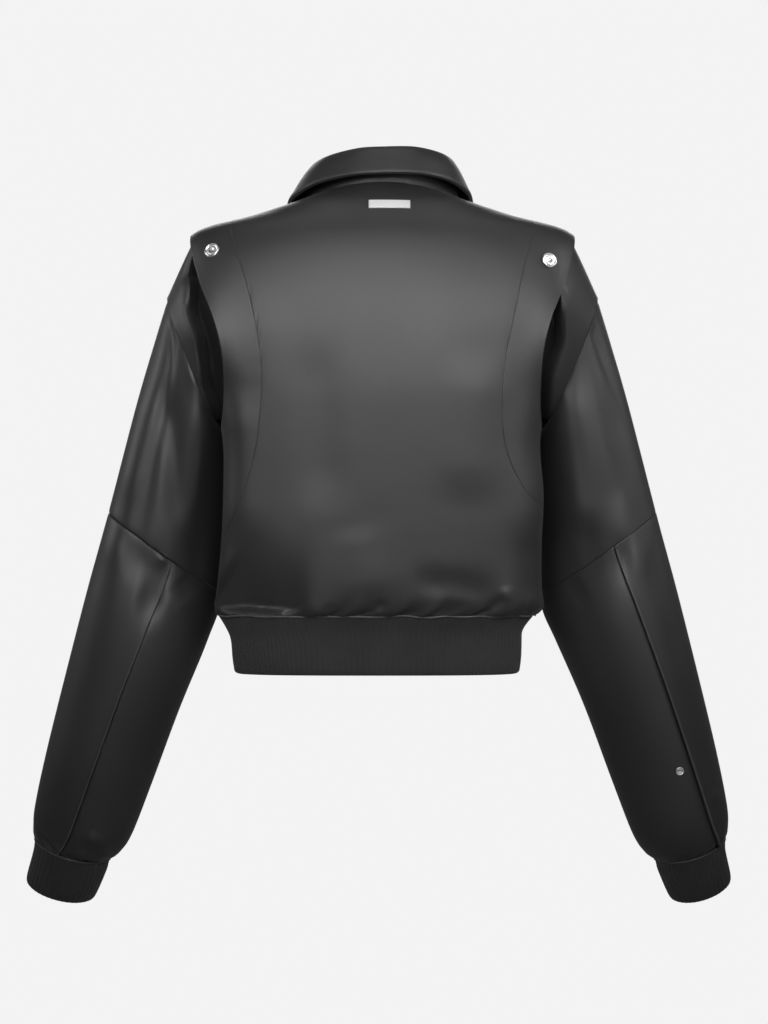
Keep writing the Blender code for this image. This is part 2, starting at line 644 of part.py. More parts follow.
# ---------------------------------------------------------------- collar
def collar_at(turn, part):
    """The fold line or the fall's edge at a turn from the centre back in degrees, signed by side."""
    x, y, z = (by_key(COLLAR, "turn", f"{part}_{axis}", abs(turn)) for axis in "xyz")
    angle = math.radians(turn)
    x = math.copysign(x, turn) + COLLAR_SHIFT[part] * max(0.0, math.cos(angle)) ** 2
    if part == "edge":
        leftward = max(0.0, math.sin(angle)) ** 2
        x += COLLAR_LEFT_REACH[0] * leftward
        z -= COLLAR_LEFT_REACH[1] * leftward
    return Vector((x, y, z - COLLAR_LEAN * math.sin(angle)))


def neck_at(turn):
    """The neck seam under the collar, at the same turn."""
    limit = zip_turn(NECK_ROW, ZIP_EDGE_X)
    share = abs(turn) / COLLAR[-1].turn
    return torso_point(math.copysign(share * limit, turn), NECK_ROW)


def with_normals(grid, flip=1.0):
    """Rows of points as rows of (point, normal)."""
    last_i, last_j = len(grid) - 1, len(grid[0]) - 1
    made = []
    for i, row in enumerate(grid):
        line = []
        for j, point in enumerate(row):
            along = grid[min(i + 1, last_i)][j] - grid[max(i - 1, 0)][j]
            across = row[min(j + 1, last_j)] - row[max(j - 1, 0)]
            line.append((point, across.cross(along).normalized() * flip))
        made.append(line)
    return made


def collar_turns(count):
    return steps(-COLLAR[-1].turn, COLLAR[-1].turn, count)


def collar_fall_grid():
    """The fall from the fold line to its free edge, as rows of (point, normal)."""
    grid = []
    for share in steps(0, 1, 5):
        row = []
        for turn in collar_turns(36):
            fold, edge = collar_at(turn, "fold"), collar_at(turn, "edge")
            away = Vector((edge.x - fold.x, edge.y - fold.y, 0)).normalized()
            to_side = math.sin(math.radians(min(abs(turn), 90)))
            swell = COLLAR_SWELL[0] + (COLLAR_SWELL[1] - COLLAR_SWELL[0]) * to_side
            rise = (away + Vector((0, 0, COLLAR_SWELL_UP))) * swell * math.sin(math.pi * share**0.75)
            row.append(fold.lerp(edge, share) + rise)
        grid.append(row)
    return with_normals(grid)


def build_collar_fall():
    """The part that turns over at the fold line and stands off the back of the neck."""
    wall("collar_fall", collar_fall_grid(), SATIN)


def build_collar_stand():
    """The band from the neck seam up to the underside of the fall, just inside the fold line."""
    tops = [fold - normal * (CLOTH + LAYER_GAP) for fold, normal in collar_fall_grid()[0]]
    feet = [neck_at(turn) + Vector((0, 0, SEAM_GAP)) for turn in collar_turns(36)]
    grid = [[foot.lerp(top, share) for foot, top in zip(feet, tops)] for share in steps(0, 1, 3)]
    wall("collar_stand", with_normals(grid, -1.0), SATIN)


# ---------------------------------------------------------------- metal trims
def facing(obj, at, normal):
    """Places an object with its own +Z along a normal."""
    obj.location = at
    obj.rotation_euler = normal.to_track_quat("Z", "Y").to_euler()


def build_snap(name, radius, segments, spot, lift):
    """A cap with a raised rim and a shallow middle, turned from its half profile."""
    at, normal = spot
    mesh = bpy.data.meshes.new(name)
    corners = [(radius * share, 0, radius * height) for share, height in SNAP_PROFILE]
    mesh.from_pydata(corners, [(k, k + 1) for k in range(len(corners) - 1)], [])
    mesh.materials.append(material(*METAL))
    cap = bpy.data.objects.new(name, mesh)
    COLLECTION.objects.link(cap)
    turn = cap.modifiers.new("turn", "SCREW")
    turn.steps = turn.render_steps = segments
    turn.use_merge_vertices = True
    turn.merge_threshold = 1e-5
    facing(cap, at + normal * (LAYER_GAP + lift), normal)


def build_snaps():
    for side, (turn, row) in SHOULDER_SNAPS.items():
        spot = torso_spot(turn * SIDES[side], row)
        build_snap("snap_" + side, SNAP_RADIUS, 20, spot, SNAP_LIFT[side])
    spot = sleeve_spot("right", *SLEEVE_SNAP)
    build_snap("sleeve_snap", SLEEVE_SNAP_RADIUS, 16, spot, SNAP_LIFT["sleeve"])


def build_tag():
    """A blank metal plate that lies on the back just below the collar."""
    length, thickness = TAG_SIZE
    top_row, bottom_row = TAG_ROWS
    grid = []
    for row in (bottom_row, top_row):
        half_width = value_at(TORSO, "half_width", row)
        shifts = (TAG_X - length / 2, TAG_X + length / 2)
        ends = [math.asin(shift / half_width) / math.pi for shift in shifts]
        grid.append([torso_spot(turn, row) for turn in steps(*ends, 6)])
    wall("tag_plate", grid, METAL, thickness, out=thickness + LAYER_GAP, gap=0.0)


# ---------------------------------------------------------------- zip
def swept(name, sections, look):
    """A solid from closed rings of points that have the same count, capped at both ends."""
    count = len(sections[0])
    vertices = [point for section in sections for point in section]
    faces = [list(range(count))[::-1]]
    for i in range(len(sections) - 1):
        for k in range(count):
            low, high = i * count, (i + 1) * count
            k_next = (k + 1) % count
            faces.append([low + k, low + k_next, high + k_next, high + k])
    faces.append([(len(sections) - 1) * count + k for k in range(count)])
    return add_object(name, vertices, outward_faces(vertices, faces), look)


def front_spot(side, row, x):
    """A spot on the middle of the zip tape behind a front, x from the centre line."""
    point, normal = torso_spot(zip_turn(row, x) * SIDES[side], row)
    return point - normal * zip_depth(CLOTH), normal


def hem_spot(side, row, x):
    """The same behind the hem rib."""
    turn = (1 - math.asin(x / HEM_RIB[row].half_width) / math.pi) * SIDES[side]
    normal = hem_normal(turn, row)
    return hem_point(turn, row) - normal * zip_depth(KNIT), normal


def zip_depth(covering):
    """How far the tape's middle lies below the outer face of what covers it."""
    return covering + 2 * LAYER_GAP + TAPE_THICKNESS / 2


def build_zip_tape(side):
    """A tape behind one front edge, thickened along the middle by its half of the teeth."""
    teeth, tape = CHAIN_THICKNESS / 2, TAPE_THICKNESS / 2
    outline = [(CHAIN_HALF_GAP, -teeth), (CHAIN_HALF_WIDTH, -teeth), (CHAIN_HALF_WIDTH, -tape),
               (ZIP_TAPE_X, -tape), (ZIP_TAPE_X, tape), (CHAIN_HALF_WIDTH, tape),
               (CHAIN_HALF_WIDTH, teeth), (CHAIN_HALF_GAP, teeth)]
    rows = [ZIP_TOP_ROW] + [row for row in TORSO_ROWS if row < ZIP_TOP_ROW][::-1]
    stops = [(front_spot, row) for row in rows] + [(hem_spot, row) for row in range(len(HEM_RIB))]
    sections = []
    for spot, row in stops:
        section = []
        for x, out in outline:
            point, normal = spot(side, row, x)
            section.append(point + normal * out)
        sections.append(section)
    swept("zip_tape_" + side, sections, TAPE)


def zip_frame():
    """An empty at the zip's top end: its +Y runs up along the zip and its +Z points out."""
    normal = torso_spot(1.0, ZIP_TOP_ROW)[1]
    across = Vector((1, 0, 0))
    frame = bpy.data.objects.new("zip_top", None)
    COLLECTION.objects.link(frame)
    axes = Matrix((across, normal.cross(across), normal)).transposed()
    frame.matrix_world = Matrix.Translation(front_spot("left", ZIP_TOP_ROW, 0.0)[0]) @ axes.to_4x4()
    return frame


def block(name, frame, low, high, look=None, origin=(0, 0, 0), bevel=0.0):
    """A box between two corners in a frame, with its own origin there. Without a look it is a cutter."""
    mesh = bpy.data.meshes.new(name)
    shape = bmesh.new()
    bmesh.ops.create_cube(shape, size=1.0)
    size = [b - a for a, b in zip(low, high)]
    middle = [(a + b) / 2 - o for a, b, o in zip(low, high, origin)]
    bmesh.ops.scale(shape, vec=size, verts=shape.verts)
    bmesh.ops.translate(shape, vec=middle, verts=shape.verts)
    shape.to_mesh(mesh)
    shape.free()
    made = bpy.data.objects.new(name, mesh)
    made.parent = frame
    made.location = origin
    if look:
        mesh.materials.append(material(*look))
        COLLECTION.objects.link(made)
    else:
        CUTTERS.objects.link(made)
        made.hide_render = True
        made.display_type = "WIRE"
    if bevel:
        rounding = made.modifiers.new("rounding", "BEVEL")
        rounding.width = bevel
        rounding.segments = 1
    return made


def combine(target, tool, operation):
    step = target.modifiers.new(operation.lower(), "BOOLEAN")
    step.operation = operation
    step.solver = "EXACT"
    step.object = tool


def build_slider(frame):
    """A block that straddles the teeth, with a bail on its face."""
    inside = CHAIN_THICKNESS / 2 + LAYER_GAP
    face = inside + SLIDER_SKIN
    low, high = SLIDER_ENDS
    slider = block("zip_slider", frame, (-SLIDER_HALF_WIDTH, low, -face),
                   (SLIDER_HALF_WIDTH, high, face), BLACK_METAL, bevel=0.0005)
    bail_low, bail_high = BAIL_ENDS
    bail = block("bail", frame, (-BAIL_HALF_WIDTH, bail_low, face - 0.0002),
                 (BAIL_HALF_WIDTH, bail_high, BAIL_TOP))
    eye = block("bail_eye", frame, (-SLIDER_HALF_WIDTH, bail_low + BAIL_WIRE, face + 0.0001),
                (SLIDER_HALF_WIDTH, bail_high - BAIL_WIRE, BAIL_TOP - BAIL_WIRE))
    channel = block("teeth_channel", frame, (-2 * SLIDER_HALF_WIDTH, 2 * low, -inside),
                    (2 * SLIDER_HALF_WIDTH, CHANNEL_END, inside))
    combine(slider, bail, "UNION")
    combine(slider, channel, "DIFFERENCE")
    combine(slider, eye, "DIFFERENCE")


def build_pull(frame):
    """A flat pull on the bail. Its origin is on its hinge, the bar above its slot."""
    up, out = PULL_HINGE
    thick = PULL_HALF_THICKNESS
    half_slot, slot_end = PULL_SLOT
    pull = block("zip_pull", frame, (-PULL_HALF_WIDTH, up - PULL_LENGTH, out - thick),
                 (PULL_HALF_WIDTH, up + thick, out + thick), BLACK_METAL,
                 origin=(0, up, out), bevel=0.0003)
    slot = block("pull_slot", frame, (-half_slot, up - slot_end, out - 5 * thick),
                 (half_slot, up - thick, out + 5 * thick))
    combine(pull, slot, "DIFFERENCE")


# ---------------------------------------------------------------- main
def clear_scene():
    for found in list(bpy.data.objects):
        bpy.data.objects.remove(found)
    for collection in (COLLECTION, CUTTERS):
        bpy.context.scene.collection.children.link(collection)


def main():
    clear_scene()
    build_back()
    for side in SIDES:
        build_front(side)
        build_wing(side, front=False)
        build_wing(side, front=True)
        build_side_panel_and_upper_sleeve(side)
        build_lower_sleeve(side)
        build_cuff(side)
    build_hem()
    build_collar_stand()
    build_collar_fall()
    build_tag()
    build_snaps()
    for side in SIDES:
        build_zip_tape(side)
    frame = zip_frame()
    build_slider(frame)
    build_pull(frame)


main()
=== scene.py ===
"""The looks of the bomber jacket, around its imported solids.

Each panel of cloth is a thin wall on the form of its solid, worked out again from the same
sections at a finer step, with its creases, gathers and seams. Metres, +Z up; the jacket faces
-Y and the camera is behind it, at +Y.
"""

import math
from collections import namedtuple

import bpy
import numpy as np
from mathutils import Matrix, Vector


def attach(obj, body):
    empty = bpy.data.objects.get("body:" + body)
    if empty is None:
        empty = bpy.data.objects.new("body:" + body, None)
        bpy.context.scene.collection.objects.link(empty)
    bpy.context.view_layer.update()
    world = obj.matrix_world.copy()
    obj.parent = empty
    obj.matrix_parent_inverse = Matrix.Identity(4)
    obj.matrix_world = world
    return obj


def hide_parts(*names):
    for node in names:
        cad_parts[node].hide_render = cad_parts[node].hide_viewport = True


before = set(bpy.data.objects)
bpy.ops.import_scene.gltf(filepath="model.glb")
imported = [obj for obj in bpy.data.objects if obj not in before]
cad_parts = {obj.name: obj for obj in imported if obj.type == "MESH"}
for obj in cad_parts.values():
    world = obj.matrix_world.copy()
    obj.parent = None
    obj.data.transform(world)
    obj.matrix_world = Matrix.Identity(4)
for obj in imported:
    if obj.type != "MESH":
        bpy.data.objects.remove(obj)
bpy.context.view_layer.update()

# ---- sizes
SIDES = {"left": 1.0, "right": -1.0}
CLOTH = 0.0013
KNIT = 0.0022
COLLAR_THICKNESS = 0.0022
TAG_THICKNESS = 0.0009
INNER_DIP, INNER_RISE = 0.8, 0.9  # the shares of a wall's relief that its inner face follows
RIB_RISE = 0.0005
RIB_POWER = 0.6  # below 1, for round crests and narrow valleys
RIB_COLUMNS = 8  # grid lines for each rib
RIB_COUNT = {"hem": 150, "cuff": 40}
RIB_STEP = 0.004
RIB_SEAM_RADIUS = 0.0012
RIB_END_RADIUS = 0.0040
RIB_END_FADE = 0.003  # over which the ribs sink to a share of their height at the turned end
RIB_END_SHARE = 0.4
HEM_SWELL = 0.0025  # of the hem rib above its turned end
HEM_SWELL_START, HEM_SWELL_FULL = 0.020, 0.050  # from the seam

UNDER_WING = 0.0019  # from the face of a wing to that of the side panel under it
WING_STAND_OFF = 0.015
WING_TIP_STAND_OFF = 0.005
WING_FLARE = 0.010

# A side panel runs under the wing, turns back in a fold and ends at the armhole seam.
PANEL_SHARES = (0.0, 0.45, 0.86)
PANEL_BOW_POWER = 0.7
PANEL_GAP = {  # how far the fold reaches to the seam: shares, and from where to where they rise
    "left": ((0.43, 0.0, 0.14), (0.22, 0.17, 0.34), (0.34, 0.42, 0.66)),
    "right": ((0.60, 0.26, 0.52), (0.39, 0.62, 0.86)),
}
PANEL_GAP_MOST = 0.985
PANEL_GAP_ENDS = {"back": 0.94, "front": 0.84}  # from here down it closes
PANEL_TUCK = 0.004
PANEL_LOW = 0.86
PANEL_DEPTH = {"back": 2.1, "front": 1.4}
PANEL_REACH = 0.004
PANEL_LIP = 0.0015
PANEL_LIP_DEPTH = {"middle": 0.1, "end": 0.8}
PANEL_UNDERARM = 0.85
PANEL_UNDERARM_RISE = 0.005
PANEL_SEAM_BLEND = 0.8  # from here on, its face turns towards that of the sleeve

SLEEVE_SWAY = 0.0025
SLEEVE_TRIM = {"left": 0.0, "right": 0.0045}
SLEEVE_SHOWN_DEPTH = 0.88  # of its half depth, at which its back or front shows in full
# The sleeves swell towards the body where they leave the armholes.
UNDERARM_SWELL = {"left": 0.0045, "right": 0.0065}
UNDERARM_TURN, UNDERARM_RING = (180, 32), (0.55, 0.5)  # the middle and the half size
ELBOW_SEAM = {"left": "seam", "right": "flat"}
LONG_SEAM_RIDGE = {"left": 0.0006, "right": 0.0011}  # half the width of its topstitched edge

COLLAR_SHIFT = {"fold": -0.006, "edge": -0.003}
COLLAR_LEAN = 0.0016
COLLAR_SWELL = {"back": 0.0045, "sides": 0.0015}
COLLAR_SWELL_UP = 0.7
COLLAR_SWELL_POWER = 0.75  # below 1, to swell most near the fold
COLLAR_LEFT_REACH, COLLAR_LEFT_DROP = 0.005, 0.001
COLLAR_EDGE_RADIUS = 0.0014
COLLAR_FOLD_RADIUS, COLLAR_FOLD_DROP = 0.0012, 0.0008
COLLAR_PIPING = (0.0004, 0.0035, 0.0022)  # its rise, its place from the edge and its half width
COLLAR_FOOT_SHARE, COLLAR_FOOT_DROP = 0.985, 0.0015
COLLAR_STAND_DEPTH = 0.0019  # of the top of the stand, below the face of the fall

ZIP_EDGE_X = 0.0070
ZIP_MIDDLE_X = 1e-6
ZIP_TOP_ROW = 10.6
ZIP_DEPTH = {"body": 0.0025, "hem": 0.0031}
TOOTH_PITCH = 0.0013
TOOTH_BEVEL = 0.0002
TEETH_START = 0.004
TOOTH = [  # corners: across, down and out
    (-0.0008, -0.0005, -0.0012),
    (0.0021, -0.0005, -0.0012),
    (0.0021, 0.0005, -0.0012),
    (-0.0008, 0.0003, -0.0012),
    (-0.0008, -0.0005, 0.0011),
    (0.0019, -0.0005, 0.0012),
    (0.0019, 0.0005, 0.0012),
    (-0.0008, 0.0003, 0.0011),
]
BOX_FACES = [(0, 3, 2, 1), (4, 5, 6, 7), (0, 1, 5, 4), (1, 2, 6, 5), (2, 3, 7, 6), (3, 0, 4, 7)]

SNAP_RADIUS = {"shoulder": 0.0076, "sleeve": 0.0042}
SHOULDER_SNAPS = {"left": (0.315, 8.485), "right": (0.303, 8.256)}
SLEEVE_SNAP = (77.8, 5.957)
SNAP_LIFT = {"left": 0.0010, "right": 0.0020, "sleeve": 0.0002}
SNAP_SEGMENTS = 48
SNAP_PROFILE = [  # shares of the radius: how far out, and how high
    (0.0, 0.110), (0.09, 0.110), (0.16, 0.150), (0.30, 0.175), (0.58, 0.190), (0.68, 0.165),
    (0.74, 0.195), (0.82, 0.275), (0.90, 0.290), (0.97, 0.220), (1.0, 0.110), (0.97, 0.0),
]
TAG_LENGTH = 0.0405
TAG_X = -0.0068
TAG_ROWS = (9.826, 10.132)
TAG_EDGE_STEPS = (0, 0.0002, 0.0005)
TAG_EDGE_RADIUS = 0.0004
TAG_LIFT = 0.0012
TAG_STEP = 0.002

TUBE_SIDES = 8
METAL_MARKS = 0.05  # how far fine marks change the roughness of metal
CORD_LIFT = 0.0001  # off the cloth
HEM_CORD_RIPPLES = {  # its height and radius: in the middle, the change and its length
    "hem_cord": (0.0002, 0.0009, 0.045),
    "hem_cord_radius": (0.00105, 0.0002, 0.02),
}
CUFF_CORD = 0.0009
CUFF_CORD_WAVE, CUFF_CORD_WAVES = 0.0006, 3
SIDE_SEAM_CORD, SIDE_SEAM_DEPTH = 0.0009, 0.0006
SIDE_SEAM_START, SIDE_SEAM_OVERLAP = 0.02, 0.12  # rows from the hem, and past the curved seam
RIDGE_LIFT, RIDGE_LIFT_SHARE = 0.0009, 0.35
RIDGE_GAP = 0.0004
RIDGE_SIDE = 4.0  # degrees, towards the side of the seam on which it lies
RIDGE_ENDS = 0.03  # rings between it and the seams at its ends
RIDGE_RIPPLE = (0.12, 0.03)  # the change of its width as a share, and its length

# ---- section tables
Torso = namedtuple("Torso", "side_z back_z front_z middle_x half_width back_y front_y back_flat")
TORSO = [
    Torso(-0.4140, -0.4140, -0.4140, 0.0060, 0.1575, 0.0850, -0.1130, 0.75),
    Torso(-0.4050, -0.4050, -0.4050, 0.0040, 0.1635, 0.0925, -0.1215, 0.80),
    Torso(-0.3850, -0.3850, -0.3850, 0.0030, 0.1610, 0.0975, -0.1270, 0.90),
    Torso(-0.3400, -0.3400, -0.3400, 0.0010, 0.1585, 0.1015, -0.1315, 1.00),
    Torso(-0.2950, -0.2950, -0.2980, -0.0010, 0.1580, 0.1055, -0.1355, 1.00),
    Torso(-0.2360, -0.2360, -0.2460, 0.0010, 0.1570, 0.1105, -0.1385, 1.00),
    Torso(-0.1850, -0.1850, -0.2030, 0.0000, 0.1725, 0.1135, -0.1360, 1.00),
    Torso(-0.1300, -0.1300, -0.1630, 0.0000, 0.1895, 0.1125, -0.1270, 1.00),
    Torso(-0.0800, -0.0810, -0.1300, 0.0000, 0.1970, 0.1065, -0.1140, 0.90),
    Torso(-0.0380, -0.0400, -0.1060, 0.0000, 0.1900, 0.0965, -0.1010, 0.60),
    Torso(-0.0193, -0.0120, -0.0880, 0.0000, 0.1330, 0.0810, -0.0870, 0.30),
    Torso(-0.0025, 0.0120, -0.0700, 0.0000, 0.0785, 0.0640, -0.0700, 0.10),
]
TIP_ROW = 9.0
UNDERARM_ROW = 5.0
NECK_ROW = 11.0
ROUND_POWER = 0.84
FLAT_POWER = 4.5
SEAM_TOP_ROW = 9.72  # where the curved seams reach the shoulder line
SEAM_END_ROW = {"left": 2.75, "right": 3.5}  # where they run out at the side
SEAM_END_FADE_ROWS = 0.5
SIDE_TURN = 0.5  # with 0 at the middle of the back and 1 at that of the front
SEAM_ROWS = [2.75, 3.5, 4.25, 5, 5.6, 6.2, 6.8, 7.4, 8, 8.5, 9, 9.36, 9.72]

# The curved seams of the back and fronts, by height.
Seam = namedtuple("Seam", "height left_x right_x")
CURVED_SEAM = [
    Seam(-0.362, 0.1600, 0.1600),
    Seam(-0.340, 0.1545, 0.1600),
    Seam(-0.317, 0.1455, 0.1560),
    Seam(-0.295, 0.1365, 0.1400),
    Seam(-0.270, 0.1275, 0.1260),
    Seam(-0.240, 0.1198, 0.1180),
    Seam(-0.200, 0.1166, 0.1159),
    Seam(-0.160, 0.1180, 0.1190),
    Seam(-0.125, 0.1235, 0.1265),
    Seam(-0.090, 0.1315, 0.1335),
    Seam(-0.060, 0.1410, 0.1405),
    Seam(-0.023, 0.1500, 0.1500),
]

# The free armhole edge of the wings, by height.
Edge = namedtuple("Edge", "height x")
WING_EDGE = [
    Edge(-0.2360, 0.1585),
    Edge(-0.2150, 0.1552),
    Edge(-0.1920, 0.1540),
    Edge(-0.1580, 0.1560),
    Edge(-0.1260, 0.1635),
    Edge(-0.0930, 0.1765),
    Edge(-0.0580, 0.1870),
    Edge(-0.0370, 0.1905),
]

# The rib band below the hem seam.
Rib = namedtuple("Rib", "height middle_x half_width back_y front_y back_flat")
HEM_RIB = [
    Rib(-0.4144, 0.0065, 0.1560, 0.0838, -0.1118, 0.75),
    Rib(-0.4280, 0.0075, 0.1470, 0.0778, -0.1058, 0.75),
    Rib(-0.4420, 0.0060, 0.1432, 0.0758, -0.1038, 0.75),
    Rib(-0.4720, 0.0055, 0.1385, 0.0735, -0.1015, 0.75),
]

# A sleeve from the armhole seam to the end of its cuff: the outermost and innermost point of
# each ring, the middle and half depth from front to back, how far the innermost point lies to
# the front of that middle, and how far the back hangs lower for each metre of depth.
Ring = namedtuple("Ring", "outer_x outer_z inner_x inner_z middle_y half_depth forward tilt")
SLEEVE = [
    Ring(0.2150, -0.1010, 0.1630, -0.2290, -0.002, 0.0680, 0.018, 0.00),
    Ring(0.2285, -0.1450, 0.1548, -0.2560, -0.003, 0.0710, 0.036, 0.01),
    Ring(0.2460, -0.2050, 0.1558, -0.3050, -0.004, 0.0700, 0.042, 0.02),
    Ring(0.2740, -0.3120, 0.1615, -0.3920, -0.006, 0.0640, 0.044, 0.03),
    Ring(0.2960, -0.3900, 0.1765, -0.4420, -0.014, 0.0610, 0.020, 0.07),
    Ring(0.3185, -0.4740, 0.2045, -0.5110, -0.026, 0.0575, 0.008, 0.10),
    Ring(0.3390, -0.5540, 0.2320, -0.5850, -0.037, 0.0545, 0.004, 0.12),
    Ring(0.3510, -0.6090, 0.2520, -0.6370, -0.045, 0.0510, 0.000, 0.14),
    Ring(0.3525, -0.6320, 0.2640, -0.6560, -0.048, 0.0450, 0.000, 0.15),
    Ring(0.3505, -0.6430, 0.2745, -0.6640, -0.050, 0.0385, 0.000, 0.18),
    Ring(0.3515, -0.6560, 0.2780, -0.6760, -0.052, 0.0355, 0.000, 0.20),
    Ring(0.3575, -0.6800, 0.2870, -0.6980, -0.055, 0.0345, 0.000, 0.24),
    Ring(0.3575, -0.6880, 0.2915, -0.7050, -0.056, 0.0320, 0.000, 0.27),
]
ELBOW_RING = 3.0
CUFF_RING = 9.0
SLEEVE_END_RING = 12.0
# The long seams of the lower sleeve, as turns round the ring in degrees from its outer point
# over the back: at the elbow and at the cuff.
BACK_SEAM_TURN = {"left": (100.0, 74.0), "right": (79.0, 47.0)}
FRONT_SEAM_TURN = (238.0, 232.0)
FOLD_FADE_RINGS = 0.4  # the folds fade out over this much of a loft at its seams
NECK_FADE_ROWS = 2.0
NORMAL_STEP = 0.02  # in rows, for the slope of a loft
NORMAL_STEP_TURN = 0.002
NORMAL_STEP_DEGREES = 1.0

# The collar, by turn from the centre back: the fold line and the free edge of the fall.
Collar = namedtuple("Collar", "turn fold_x fold_y fold_z edge_x edge_y edge_z")
COLLAR = [
    Collar(0, 0.0000, 0.0620, 0.0465, 0.0000, 0.0840, 0.0180),
    Collar(20, 0.0275, 0.0580, 0.0463, 0.0330, 0.0800, 0.0172),
    Collar(45, 0.0560, 0.0420, 0.0412, 0.0645, 0.0625, 0.0120),
    Collar(70, 0.0705, 0.0180, 0.0340, 0.0840, 0.0325, 0.0035),
    Collar(90, 0.0715, -0.0040, 0.0240, 0.0905, 0.0020, -0.0012),
    Collar(115, 0.0630, -0.0320, 0.0100, 0.0920, -0.0390, -0.0128),
    Collar(140, 0.0440, -0.0560, -0.0110, 0.0840, -0.0770, -0.0440),
    Collar(160, 0.0250, -0.0690, -0.0270, 0.0680, -0.0980, -0.0740),
    Collar(174, 0.0080, -0.0755, -0.0370, 0.0490, -0.1075, -0.0990),
]

# Large soft folds: where they are on their loft (across, along), their half sizes there, how
# far they turn the crest, and how high they rise (below zero, how deep they sink).
Fold = namedtuple("Fold", "across along half_across half_along lean rise")
SLEEVE_FOLDS = {
    "left": [
        Fold(62, 1.9, 11, 1.5, 4, -0.0045),
        Fold(95, 1.4, 13, 1.6, -2, 0.0035),
        Fold(126, 2.3, 12, 1.0, 0, -0.0030),
        Fold(48, 0.5, 10, 0.5, 10, -0.0030),
        Fold(84, 3.25, 22, 0.25, 0, -0.0030),
        Fold(118, 3.4, 20, 0.30, 0, 0.0030),
        Fold(112, 8.2, 22, 0.45, 0, 0.0035),
        Fold(60, 7.8, 20, 0.60, 0, -0.0025),
        Fold(250, 2.2, 16, 1.4, 0, -0.0035),
        Fold(300, 3.3, 26, 0.50, 0, -0.0030),
    ],
    "right": [
        Fold(66, 2.1, 13, 1.1, 0, 0.0040),
        Fold(100, 1.7, 12, 1.6, 0, -0.0035),
        Fold(44, 0.9, 9, 0.9, -8, -0.0035),
        Fold(74, 3.2, 20, 0.30, 0, -0.0030),
        Fold(120, 4.0, 18, 1.2, 0, -0.0025),
        Fold(58, 8.0, 18, 0.60, 0, 0.0030),
        Fold(185, 3.3, 40, 0.80, 0, 0.0035),
        Fold(250, 2.2, 16, 1.4, 0, -0.0035),
        Fold(300, 3.3, 26, 0.50, 0, -0.0030),
    ],
}
TORSO_FOLDS = [
    Fold(0.29, 1.4, 0.05, 1.0, 0.00, -0.0030),
    Fold(-0.30, 1.2, 0.05, 0.9, 0.00, 0.0030),
    Fold(0.12, 0.9, 0.05, 0.6, 0.00, 0.0022),
    Fold(-0.15, 0.8, 0.04, 0.6, 0.00, -0.0025),
    Fold(0.72, 1.3, 0.05, 1.3, 0.00, -0.0030),
    Fold(-0.72, 1.3, 0.05, 1.3, 0.00, -0.0030),
    Fold(0.66, 6.2, 0.05, 1.2, 0.02, -0.0025),
    Fold(-0.66, 6.2, 0.05, 1.2, 0.02, -0.0025),
]


# ---- steps, camera and creases
STEP = 0.0026  # between the grid lines of the cloth
EDGE_STEPS = (0.0001, 0.0005, 0.0010, 0.0017, 0.0028, 0.0044)
NO_EDGE = ()
TURNS_ROUND = np.linspace(0, 360, 180, endpoint=False)
# The sizes that set how many steps a panel has, along it and across it.
STEPS_ALONG = {
    "wing": 0.330, "side_panel": 0.080, "sleeve_upper": 0.210, "sleeve_lower": 0.270,
    "hem": 0.060, "cuff": 0.050, "collar_fall": 0.042, "collar_stand": 0.034,
}
STEPS_ACROSS = {
    "back": 0.340, "front": 0.165, "wing": 0.045, "sleeve_lower": 0.160, "collar": 0.420,
}
WING_STEP = 0.0022
# What the uneven waves of each seam are drawn from.
SEEDS = {
    "back": 11, "front_left": 23, "front_right": 37,
    "wing_back_left": 44, "wing_back_right": 41, "wing_front_left": 51, "wing_front_right": 48,
    "side_panel_left": 53, "side_panel_right": 59,
    "sleeve_upper_left": 61, "sleeve_upper_right": 67,
    "sleeve_lower_inner_left": 78, "sleeve_lower_inner_right": 73,
    "sleeve_lower_outer_left": 76, "sleeve_lower_outer_right": 71,
    "collar_stand": 81, "hem_cord": 5, "hem_cord_radius": 6, "seam_ridge": 9,
}
BORDER_SEEDS = 10  # between the seeds of the borders of a panel
# How many points lines have.
POINTS = {
    "body": 240, "hem_cord": 520, "side_seam": 120, "seam_ridge": 260, "zip": 220, "zip_hem": 40,
}

CAMERA_DISTANCE = 3.0
CAMERA_X = -0.0015
CAMERA_Z = -0.312
VIEW_HEIGHT = 1.024  # of the plane y = 0, in the picture
SENSOR = 36.0
FLOOR_Z = -0.86
FLOOR_RADIUS, FLOOR_SIDES = 14, 96
BACKDROP = (0.896, 0.896, 0.896, 1)
AMBIENT = (0.17, 0.005)  # from below and from above
AMBIENT_RANGE = (-0.7, 1.0)
LIGHTS = [  # name, place, what it is aimed at, size, power, spread in degrees
    ("right", (-1.97, -0.35, 0.35), (0.0, 0.05, -0.15), (1.0, 0.6), 0.3, 60),
    ("right_high", (-1.88, 0.68, 0.80), (0.0, 0.05, -0.08), (1.0, 0.6), 0.8, 30),
    ("back_right", (-0.45, 1.95, 0.35), (0.0, 0.10, -0.16), (1.0, 0.6), 1.2, 40),
    ("back_right_low", (-1.29, 1.53, -0.35), (0.0, 0.05, -0.20), (1.0, 0.6), 0.4, 60),
    ("back_left", (0.45, 1.95, 0.35), (0.0, 0.10, -0.16), (1.0, 0.6), 1.4, 40),
    ("left_high", (1.88, 0.68, 0.80), (0.0, 0.05, -0.08), (1.0, 0.6), 0.2, 30),
    ("left", (1.97, -0.35, 0.35), (0.0, 0.05, -0.15), (1.0, 0.6), 0.92, 60),
    ("top", (0.0, 0.2, 1.8), (0.0, 0.0, -0.20), (1.2, 1.2), 1.65, 90),
    ("front", (0.0, -2.2, 0.6), (0.0, -0.1, -0.25), (1.8, 1.0), 9, 100),
]

